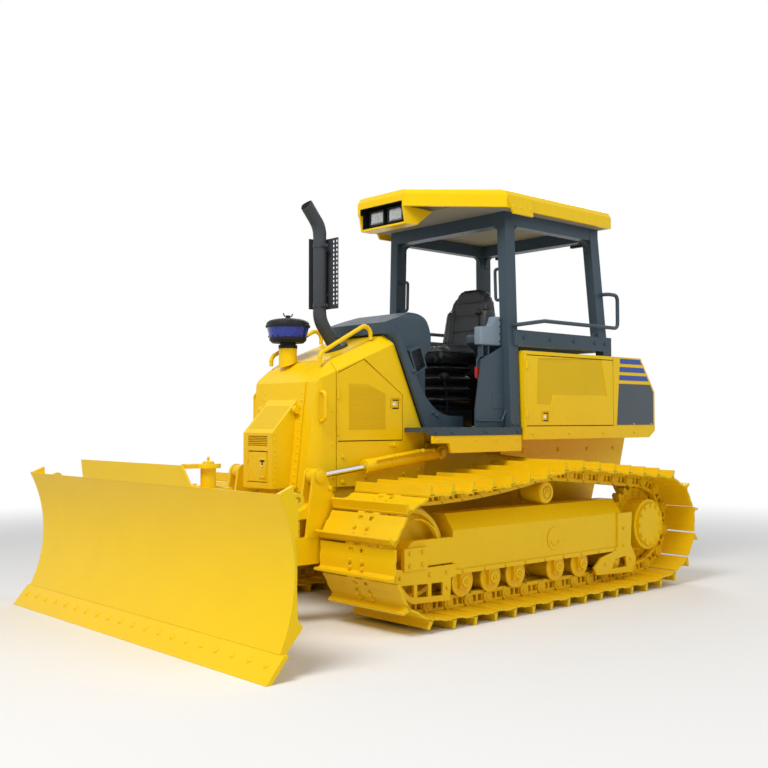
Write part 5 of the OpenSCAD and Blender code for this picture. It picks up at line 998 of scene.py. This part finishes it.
def nose_latch():
    """A bezel on the nose hatch with a slot to reach in, drawn as a black plate of painted shade, a lock and a lip to
    pull.
    """
    place, _ = touch("nose_door", at(AHEAD, 0.052, 0.884), BACK)
    seat = Matrix.Translation(place)
    bezel, slot, lock = bmesh.new(), bmesh.new(), bmesh.new()
    block(bezel, (-0.0005, -0.032, -0.062), (0.003, 0.032, 0.062), 0.002, 2, seat)
    block(bezel, (0.002, -0.026, -0.056), (0.007, 0.026, -0.048), 0.002, 2, seat)
    # The slot is a thin black plate on the bezel: painted shade of the opening
    block(slot, (0.002, -0.024, 0.040), (0.0034, 0.024, 0.052), matrix=seat)
    block(slot, (0.002, -0.007, 0.012), (0.0034, 0.007, 0.040), matrix=seat)
    dome(lock, place + Vector((0.0034, 0.0, 0.014)), FORWARD, 0.008)
    add_piece("nose_latch", bezel, "nose_door", "body_yellow")
    add_piece("nose_latch_slot_shade", slot, "nose_door", "trim_black")
    add_piece("nose_latch_lock", lock, "nose_door", "rod_chrome")


SLAT_T = 0.0025
VENT = ((2.012, 1.118), (2.316, 1.118), (2.316, 1.400), (2.157, 1.400), (2.012, 1.342))
DOOR_Y = 0.3200


def slat(bm, first, last, inward):
    """A louvre blade between two points, as deep and as slanted as a step inward."""
    corners = [first, last, last + inward, first + inward]
    bridge(bm, [[bm.verts.new(p + Vector((0, 0, rise))) for p in corners] for rise in (0.0, SLAT_T)])


def vents():
    for side, name in SIDES:
        bm = bmesh.new()
        y = side * (DOOR_Y + 0.0025)
        for i in range(25):
            z = 1.126 + 0.0105 * i
            slope = max(0.0, (z - 1.340) / (1.398 - 1.340))
            slat(bm, at(2.015 + 0.143 * slope, y, z), at(2.313, y, z), Vector((0, -side * 0.002, 0)))
        add_piece(f"vent_slats_{name}", bm, f"engine_door_{name}", "body_yellow")
        # A darker perforated plate behind the slats: painted shade inside the vent
        bm = bmesh.new()
        side_prism(bm, side, VENT, DOOR_Y - 0.0005, DOOR_Y + 0.0012)
        add_piece(f"vent_back_{name}", bm, f"engine_door_{name}", "body_yellow", "perforated_painted_shade")
    bm = bmesh.new()
    x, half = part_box("nose_guard")[1].x - 0.004, 0.098
    for i in range(6):
        z = 1.018 + 0.0102 * i
        slat(bm, Vector((x, -half, z)), Vector((x, half, z)), Vector((-0.012, 0, 0.008)))
    add_piece("nose_slats", bm, "tractor", "body_yellow")
    # A darker yellow plate behind the nose slats: painted shade inside the vent
    bm = bmesh.new()
    block(bm, (x - 0.016, -half, 1.014), (x - 0.014, half, 1.075))
    add_piece("nose_vent_back", bm, "tractor", "body_yellow", "vent_painted_shade")


REAR_Y = 0.635
RECESS = ((0.883, 1.597), (0.160, 1.618), (0.092, 1.355), (0.720, 1.352), (0.742, 1.283), (0.895, 1.288))
RECESS_INSET = 0.012
STRIPE_H = 0.038


def corner_panel(high, low):
    """A four-cornered outline between two heights, along the rear corner's slanted edge."""
    def front(z):
        return -0.076 + 0.094 * (1.630 - z)

    def rear(z):
        return -0.325 - 0.7255 * (1.645 - z)
    return [(front(high), high), (rear(high), high), (rear(low), low), (front(low), low)]


def rear_bodywork():
    """Mesh sheets in the door recesses, and plain stripes over a plain slate panel on the corners."""
    centre = [sum(p[k] for p in RECESS) / len(RECESS) for k in (0, 1)]
    sheet = [(x + (centre[0] - x) * RECESS_INSET, z + (centre[1] - z) * RECESS_INSET) for x, z in RECESS]
    slate = corner_panel(1.446, 1.390)[:3] + [(-0.510, 1.138), (-0.030, 1.138)]
    for side, name in SIDES:
        # Darker perforated sheets in the recesses: painted shade seen through the mesh
        bm = bmesh.new()
        side_prism(bm, side, sheet, REAR_Y - 0.0065, REAR_Y - 0.0045)
        add_piece(f"door_mesh_{name}", bm, f"rear_door_{name}", "body_yellow", "perforated_painted_shade")
        bm = bmesh.new()
        for high in (1.634, 1.572, 1.510):
            side_prism(bm, side, corner_panel(high, high - STRIPE_H), REAR_Y - 0.0005, REAR_Y + 0.0012)
        add_piece(f"stripes_{name}", bm, "tractor", "bowl_blue", "stripe_blue")
        bm = bmesh.new()
        side_prism(bm, side, slate, REAR_Y - 0.0005, REAR_Y + 0.0012)
        add_piece(f"slate_panel_{name}", bm, "tractor", "frame_grey", "slate_panel")
        door_latch(f"rear_door_{name}", side, 0.816, 1.196)
        door_latch(f"engine_door_{name}", side, 1.936, 1.276)


def door_latch(node, side, x, z):
    """A black sheet of painted shade in the recess behind a door's paddle, and the lock on the paddle."""
    recess_shade, lock = bmesh.new(), bmesh.new()
    deep = side_spot(node, side, x - 0.048, z + 0.030).y
    # A thin black block on the recess floor: painted shade behind the paddle
    block(recess_shade, (-0.036, -0.0005, -0.030), (0.016, 0.0008, 0.030), matrix=Matrix.Translation(at(x - 0.008, deep, z)))
    add_piece(f"latch_recess_shade_{node}", recess_shade, node, "trim_black")
    seat = frame_at(side_spot(node, side, x, z), (0, side, 0))
    lathe(lock, seat, [(0.012, -0.001), (0.012, 0.002), (0.010, 0.004), (0.0, 0.004)], 20)
    block(lock, (-0.007, -0.0012, 0.0035), (0.007, 0.0012, 0.0048), matrix=seat)
    add_piece(f"lock_{node}", lock, node, "rod_chrome")


def filler():
    bm = bmesh.new()
    seat = frame_at(*touch("rear_body", at(0.02, 0.27, ABOVE), DOWN))
    lathe(bm, seat, [(0.060, -0.001), (0.060, 0.014), (0.046, 0.018), (0.046, 0.040), (0.052, 0.044), (0.052, 0.066),
                     (0.046, 0.072), (0.0, 0.072)], 28)
    for a in circle(12):
        block(bm, (0.050, -0.004, 0.046), (0.056, 0.004, 0.064), 0.0015, 1, seat @ Matrix.Rotation(a, 4, "Z"))
    add_piece("filler_cap", bm, "tractor", "console_grey")


def rear_fasteners():
    bm = bmesh.new()
    for side, _ in SIDES:
        side_heads(bm, "rear_corners", side, [(x, 1.145) for x in (-0.015, -0.25, -0.48)], 0.007, 0.5)
        side_heads(bm, "rear_body", side, [(x, 1.085) for x in (0.95, 0.55, 0.15, -0.25)], 0.009)
        side_heads(bm, "main_frame", side, [(x, 0.96) for x in (0.80, 0.40, 0.05, -0.28)], 0.012)
    add_piece("rear_fasteners", bm, "tractor", "body_yellow")


hood_and_nose()
nose_latch()
vents()
rear_bodywork()
filler()
rear_fasteners()


# Exhaust and air cleaner

STACK_X, STACK_Y = 2.320, 0.040
FOOT_X, FLANGE_T = 2.190, 0.0163
WING = ((0.008, 0.012), (0.030, 0.016), (0.036, 0.032))
HOOD_LINE = ((2.591, 1.474), (1.962, 1.722))


def band(bm, place, inner, outer, low, high):
    lathe(bm, frame_at(place, UP), [(inner, low), (outer, low), (outer, high), (inner, high)], 36, True)


def exhaust():
    """Clamps round the stack and the bolts of its foot on the sloped hood."""
    bm = bmesh.new()
    for z in (1.90, 2.28):
        band(bm, at(STACK_X, STACK_Y, z), 0.0422, 0.045, -0.012, 0.012)
        for x in (2.300, 2.322):
            block(bm, at(x, 0.082, z - 0.010), at(x + 0.016, 0.100, z + 0.010), 0.002, 1)
        bolt(bm, at(2.338, 0.092, z), FORWARD, 0.006)
    (x0, z0), (x1, z1) = HOOD_LINE
    slope = math.atan2(z1 - z0, x0 - x1)
    normal = Vector((math.sin(slope), 0, math.cos(slope)))
    foot = at(FOOT_X, STACK_Y, z0 + (z1 - z0) * (x0 - FOOT_X) / (x0 - x1))
    for spot in ring_of(foot + normal * FLANGE_T, normal, 0.068, 4, 0.8):
        bolt(bm, spot, normal, 0.009)
    add_piece("stack_clamps", bm, "tractor", "exhaust_paint")


def air_cleaner():
    low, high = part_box("precleaner_cap")
    axis = Vector(((low.x + high.x) / 2, (low.y + high.y) / 2, 0))
    bm = bmesh.new()
    lathe(bm, frame_at(axis + Vector((0, 0, 1.766)), UP), [
        (0.1375, -0.004), (0.142, 0.0), (0.142, 0.010), (0.1375, 0.014)], 48, True)
    lathe(bm, frame_at(axis + Vector((0, 0, high.z)), UP), [
        (0.022, -0.004), (0.022, 0.004), (0.012, 0.008), (0.012, 0.020), (0.0, 0.020)], 20)
    for s in (-1, 1):
        tube(bm, bent([axis + Vector((s * x, 0, high.z + z)) for x, z in WING], 0.01), 0.004, 8)
    for a in circle(16):
        block(bm, (0.121, -0.002, 1.7015), (0.127, 0.002, 1.7100), 0.001, 1,
              Matrix.Translation(axis) @ Matrix.Rotation(a, 4, "Z"))
    add_piece("cleaner_trim", bm, "tractor", "trim_black")
    bm = bmesh.new()
    band(bm, axis + Vector((0, 0, 1.640)), 0.0582, 0.0600, -0.010, 0.012)
    add_piece("stem_collar", bm, "tractor", "trim_black")


exhaust()
air_cleaner()


# Cab: lamps, roof bolts, rails and floor tread

LAMP_RINGS = ((0.98, 0.0005), (0.94, 0.007), (0.55, 0.0035), (0.2, 0.0015))
LAMP_OUTLINE = ((-1, -0.7), (-0.7, -1), (0.7, -1), (1, -0.7), (1, 0.7), (0.7, 1), (-0.7, 1), (-1, 0.7))
LENS_COLUMNS, LENS_ROWS = 14, 6


def lamps():
    """Reflectors with bulbs behind fluted lenses, at the front and the back, and a dark lining of the front scoop."""
    glass, bright, dark_sheets = bmesh.new(), bmesh.new(), bmesh.new()
    rear_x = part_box("work_lamps")[0].x
    spots = [(at(1.702, side * 0.092, 2.560), FORWARD, 0.132, 0.086) for side, _ in SIDES]
    spots += [(Vector((rear_x, side * 0.380, 2.537)), BACK, 0.128, 0.084) for side, _ in SIDES]
    for place, out, wide, tall in spots:
        seat = frame_at(place, out, UP)
        bridge(bright, [[bright.verts.new(seat @ Vector((share * tall / 2 * y, share * wide / 2 * x, depth)))
                         for x, y in LAMP_OUTLINE] for share, depth in LAMP_RINGS], ends=(-1,))
        lathe(bright, seat @ Matrix.Translation((0, 0, 0.0015)), [
            (0.012, 0.0), (0.012, 0.004), (0.008, 0.006), (0.0, 0.006)], 16)

        def lens_point(i, j):
            bulge = 0.009 + (0.0012 if i % 2 else 0.0) + 0.003 * (1 - (2 * i / LENS_COLUMNS - 1) ** 2)
            return seat @ Vector((tall * 0.95 * (j / LENS_ROWS - 0.5), wide * 0.96 * (i / LENS_COLUMNS - 0.5), bulge))
        grid = [[glass.verts.new(lens_point(i, j)) for j in range(LENS_ROWS + 1)] for i in range(LENS_COLUMNS + 1)]
        for a, b in zip(grid, grid[1:]):
            for j in range(LENS_ROWS):
                glass.faces.new((a[j], b[j], b[j + 1], a[j + 1]))
    for side, _ in SIDES:
        block(dark_sheets, at(1.662, side * 0.2085, 2.492), at(1.738, side * 0.2105, 2.588))
        block(dark_sheets, at(1.662, side * 0.2085, 2.588), at(1.760, side * 0.2105, 2.627))
    block(dark_sheets, at(1.662, -0.2085, 2.4915), at(1.738, 0.2085, 2.4930))
    block(dark_sheets, at(1.662, -0.2085, 2.6265), at(1.760, 0.2085, 2.6285))
    add_piece("lamp_reflectors", bright, "tractor", "rod_chrome", "lamp_reflector")
    add_piece("lamp_liner", dark_sheets, "tractor", "trim_black")
    made = add_piece("lamp_lenses", glass, "tractor", "rod_chrome", "lamp_lens")
    thick = made.modifiers.new("thickness", "SOLIDIFY")
    thick.thickness = 0.002


POST_BOLTS = ((1.075, 1.150), (1.120, 1.150), (0.08, 1.735), (0.20, 1.735), (1.00, 1.735), (0.45, 1.735), (0.72, 1.735))


def roof_and_posts():
    roof, cab = bmesh.new(), bmesh.new()
    heads(roof, "canopy_roof", [at(x, side * 0.585, ABOVE) for x in (0.16, 0.52, 0.88, 1.18) for side in (-1, 1)], DOWN,
          0.012, 0.5)
    heads(roof, "canopy_roof", [at(1.68, y, ABOVE) for y in (-0.15, 0.15)], DOWN, 0.012, 0.5)
    for side, _ in SIDES:
        out = Vector((0, side, 0))
        side_heads(roof, "canopy_roof", side, [(x, 2.60) for x in (1.00, 1.10, 1.17)], 0.009, 0.5)
        side_heads(cab, "side_sills", side, ((1.625, 1.225), (1.585, 1.205), (1.800, 1.490)), 0.012)
        side_heads(cab, "rops_frame", side, POST_BOLTS, 0.011)
        side_heads(cab, "floor_deck", side, [(x, 1.10) for x in (1.08, 1.40, 1.72, 1.86)], 0.009)
        side_heads(cab, "dash_cowl", side, ((1.66, 1.80), (1.72, 1.72), (1.90, 1.78)), 0.006, 0.6)
        place = side_spot("rops_frame", side, 1.20, 1.30)
        block(cab, (-0.05, -0.06, -0.001), (0.05, 0.06, 0.003), 0.001, 1, frame_at(place, out))
        foot = place + Vector((0.12, 0, -0.14)) + out * 0.012
        tube(cab, bent([foot + Vector((x, 0, z)) for x, z in ((0.10, 0.012), (-0.14, 0.010), (-0.19, 0.09))], 0.02),
             0.007, 10)
    add_piece("roof_bolts", roof, "tractor", "body_yellow")
    add_piece("cab_bolts", cab, "tractor", "frame_grey")


FRONT_POST_X, REAR_POST_X, LOOP_X = 1.095, 0.095, -0.027
RAIL_Y, RAIL_LOW_Z, RAIL_Z, LOOP_Z = 0.650, 1.816, 1.856, 2.102
HANDLE_ZS, HANDLE_REACH = (1.996, 2.210), 0.072


def rails():
    """The posts' rails as in the solids, but with the front handles turned inwards."""
    bm = bmesh.new()
    for side, _ in SIDES:
        inward = Vector((0, -side, 0))
        line = [at(x, side * RAIL_Y, z) for x, z in (
            (FRONT_POST_X, RAIL_LOW_Z), (0.830, RAIL_Z), (LOOP_X, RAIL_Z), (LOOP_X, LOOP_Z), (REAR_POST_X, LOOP_Z))]
        foot = side_spot("rops_frame", side, FRONT_POST_X, RAIL_LOW_Z)
        head = side_spot("rops_frame", side, REAR_POST_X, LOOP_Z)
        tube(bm, bent([foot, *line, head], 0.045), 0.014, 16)
        low, high = (touch("rops_frame", at(FRONT_POST_X, 0, z), -inward)[0] for z in HANDLE_ZS)
        tube(bm, bent([low, low + inward * HANDLE_REACH, high + inward * HANDLE_REACH, high], 0.0225), 0.011, 14)
    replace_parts(add_piece("post_rails_turned", bm, "tractor", "frame_grey"), "post_rails")


TREAD_Z, TREAD_PITCH = 1.127, 0.042
TREAD_AREAS = ((1.36, 1.62, -0.31, 0.31), (1.45, 1.83, 0.375, 0.605), (1.45, 1.83, -0.605, -0.375))
LOZENGE = ((-0.015, 0.0), (-0.008, -0.0045), (0.008, -0.0045), (0.015, 0.0), (0.008, 0.0045), (-0.008, 0.0045))


def floor_tread():
    """Raised lozenges on the floor where a foot goes."""
    bm = bmesh.new()
    for x0, x1, y0, y1 in TREAD_AREAS:
        for i in range(int((x1 - x0) / TREAD_PITCH)):
            for j in range(int((y1 - y0) / TREAD_PITCH)):
                turn = Matrix.Rotation(math.radians(45 if (i + j) % 2 else -45), 4, "Z")
                place = at(x0 + (i + 0.5) * TREAD_PITCH, y0 + (j + 0.5) * TREAD_PITCH, TREAD_Z)
                prism(bm, Matrix.Translation(place) @ turn, LOZENGE, -0.001, 0.0025)
    add_piece("floor_tread", bm, "tractor", "frame_grey")


lamps()
roof_and_posts()
rails()
floor_tread()


# Studio: camera where the photograph's stood, pale floor, soft light

IMAGE_SIDE = 768
FOCAL_PIXELS = 1020.5
SENSOR = 36.0
CAMERA_PLACE = Vector((4.7905, 5.092, 1.171))
CAMERA_YAW = -2.308
CAMERA_PITCH = 0.036
CAMERA_ROLL = -0.001
FLOOR_HALF = 40.0
FLOOR_COLOR = (0.86, 0.86, 0.86, 1.0)
FADE_FROM = 4.5
FADE_TO = 9.0
WORLD_COLOR = (0.97, 0.985, 1.0, 1.0)
WORLD_LEVEL = 0.38
WHITE = {"Color": (1, 1, 1, 1), "Strength": 1.0}
MACHINE_MIDDLE = Vector((0.0, 0.0, 1.0))
LAMPS = (("key", (6.0, 2.0, 8.0), 4.0, 540.0, (1.0, 0.985, 0.96)),
         ("side", (-1.0, 7.5, 6.5), 5.0, 160.0, (1.0, 1.0, 1.0)),
         ("back", (-6.0, -4.0, 6.0), 4.0, 160.0, (1.0, 1.0, 1.0)))


def add_object(name, data):
    made = bpy.data.objects.new(name, data)
    scene.collection.objects.link(made)
    return made


def camera():
    lens = bpy.data.cameras.new("camera")
    lens.sensor_width = SENSOR
    lens.lens = SENSOR * FOCAL_PIXELS / IMAGE_SIDE
    ahead = Vector((math.cos(CAMERA_YAW) * math.cos(CAMERA_PITCH), math.sin(CAMERA_YAW) * math.cos(CAMERA_PITCH),
                    math.sin(CAMERA_PITCH)))
    turn = ahead.to_track_quat("-Z", "Y").to_matrix().to_4x4() @ Matrix.Rotation(CAMERA_ROLL, 4, "Z")
    scene.camera = add_object("camera", lens)
    scene.camera.matrix_world = Matrix.Translation(CAMERA_PLACE) @ turn


def white_to_camera(tree, shown, other):
    """Joins two shaders so that the camera, mirrors and glass see the first and the rest of the light the second."""
    path = shader_node(tree, "ShaderNodeLightPath")
    seen = path.outputs["Is Camera Ray"]
    for kind in ("Is Glossy Ray", "Is Transmission Ray"):
        most = shader_node(tree, "ShaderNodeMath", {0: seen, 1: path.outputs[kind]}, operation="MAXIMUM")
        seen = most.outputs["Value"]
    return shader_node(tree, "ShaderNodeMixShader", {"Fac": seen, 1: other, 2: shown}).outputs["Shader"]


def floor():
    """A flat floor that keeps the shadow near the machine and fades to the white backdrop further out."""
    finish = bpy.data.materials.new("floor")
    tree = bare_tree(finish)
    plain = shader_node(tree, "ShaderNodeBsdfDiffuse", {"Color": FLOOR_COLOR}).outputs["BSDF"]
    white = shader_node(tree, "ShaderNodeEmission", WHITE).outputs["Emission"]
    coords = shader_node(tree, "ShaderNodeTexCoord").outputs["Object"]
    far = shader_node(tree, "ShaderNodeVectorMath", {0: coords}, operation="LENGTH").outputs["Value"]
    fade = shader_node(tree, "ShaderNodeMapRange", {"Value": far, "From Min": FADE_FROM, "From Max": FADE_TO},
                       interpolation_type="SMOOTHSTEP")
    blend = shader_node(tree, "ShaderNodeMixShader", {"Fac": fade.outputs["Result"], 1: plain, 2: white})
    shader_node(tree, "ShaderNodeOutputMaterial", {"Surface": white_to_camera(tree, blend.outputs["Shader"], plain)})
    bm = bmesh.new()
    bm.faces.new([bm.verts.new((x * FLOOR_HALF, y * FLOOR_HALF, 0.0)) for x, y in ((-1, -1), (1, -1), (1, 1), (-1, 1))])
    mesh = bpy.data.meshes.new("floor")
    bm.to_mesh(mesh)
    bm.free()
    mesh.materials.append(finish)
    add_object("floor", mesh)


def backdrop():
    scene.world = bpy.data.worlds.new("studio")
    tree = bare_tree(scene.world)
    light = shader_node(tree, "ShaderNodeBackground", {"Color": WORLD_COLOR, "Strength": WORLD_LEVEL})
    white = shader_node(tree, "ShaderNodeBackground", WHITE)
    shader_node(tree, "ShaderNodeOutputWorld", {
        "Surface": white_to_camera(tree, white.outputs["Background"], light.outputs["Background"])})


def soft_lamp(name, place, side, power, color):
    lamp = bpy.data.lights.new(name, "AREA")
    lamp.shape = "DISK"
    lamp.size = side
    lamp.energy = power
    lamp.color = color
    aim = (MACHINE_MIDDLE - Vector(place)).to_track_quat("-Z", "Y").to_matrix().to_4x4()
    add_object(name, lamp).matrix_world = Matrix.Translation(place) @ aim


camera()
floor()
backdrop()
for lamp in LAMPS:
    soft_lamp(*lamp)
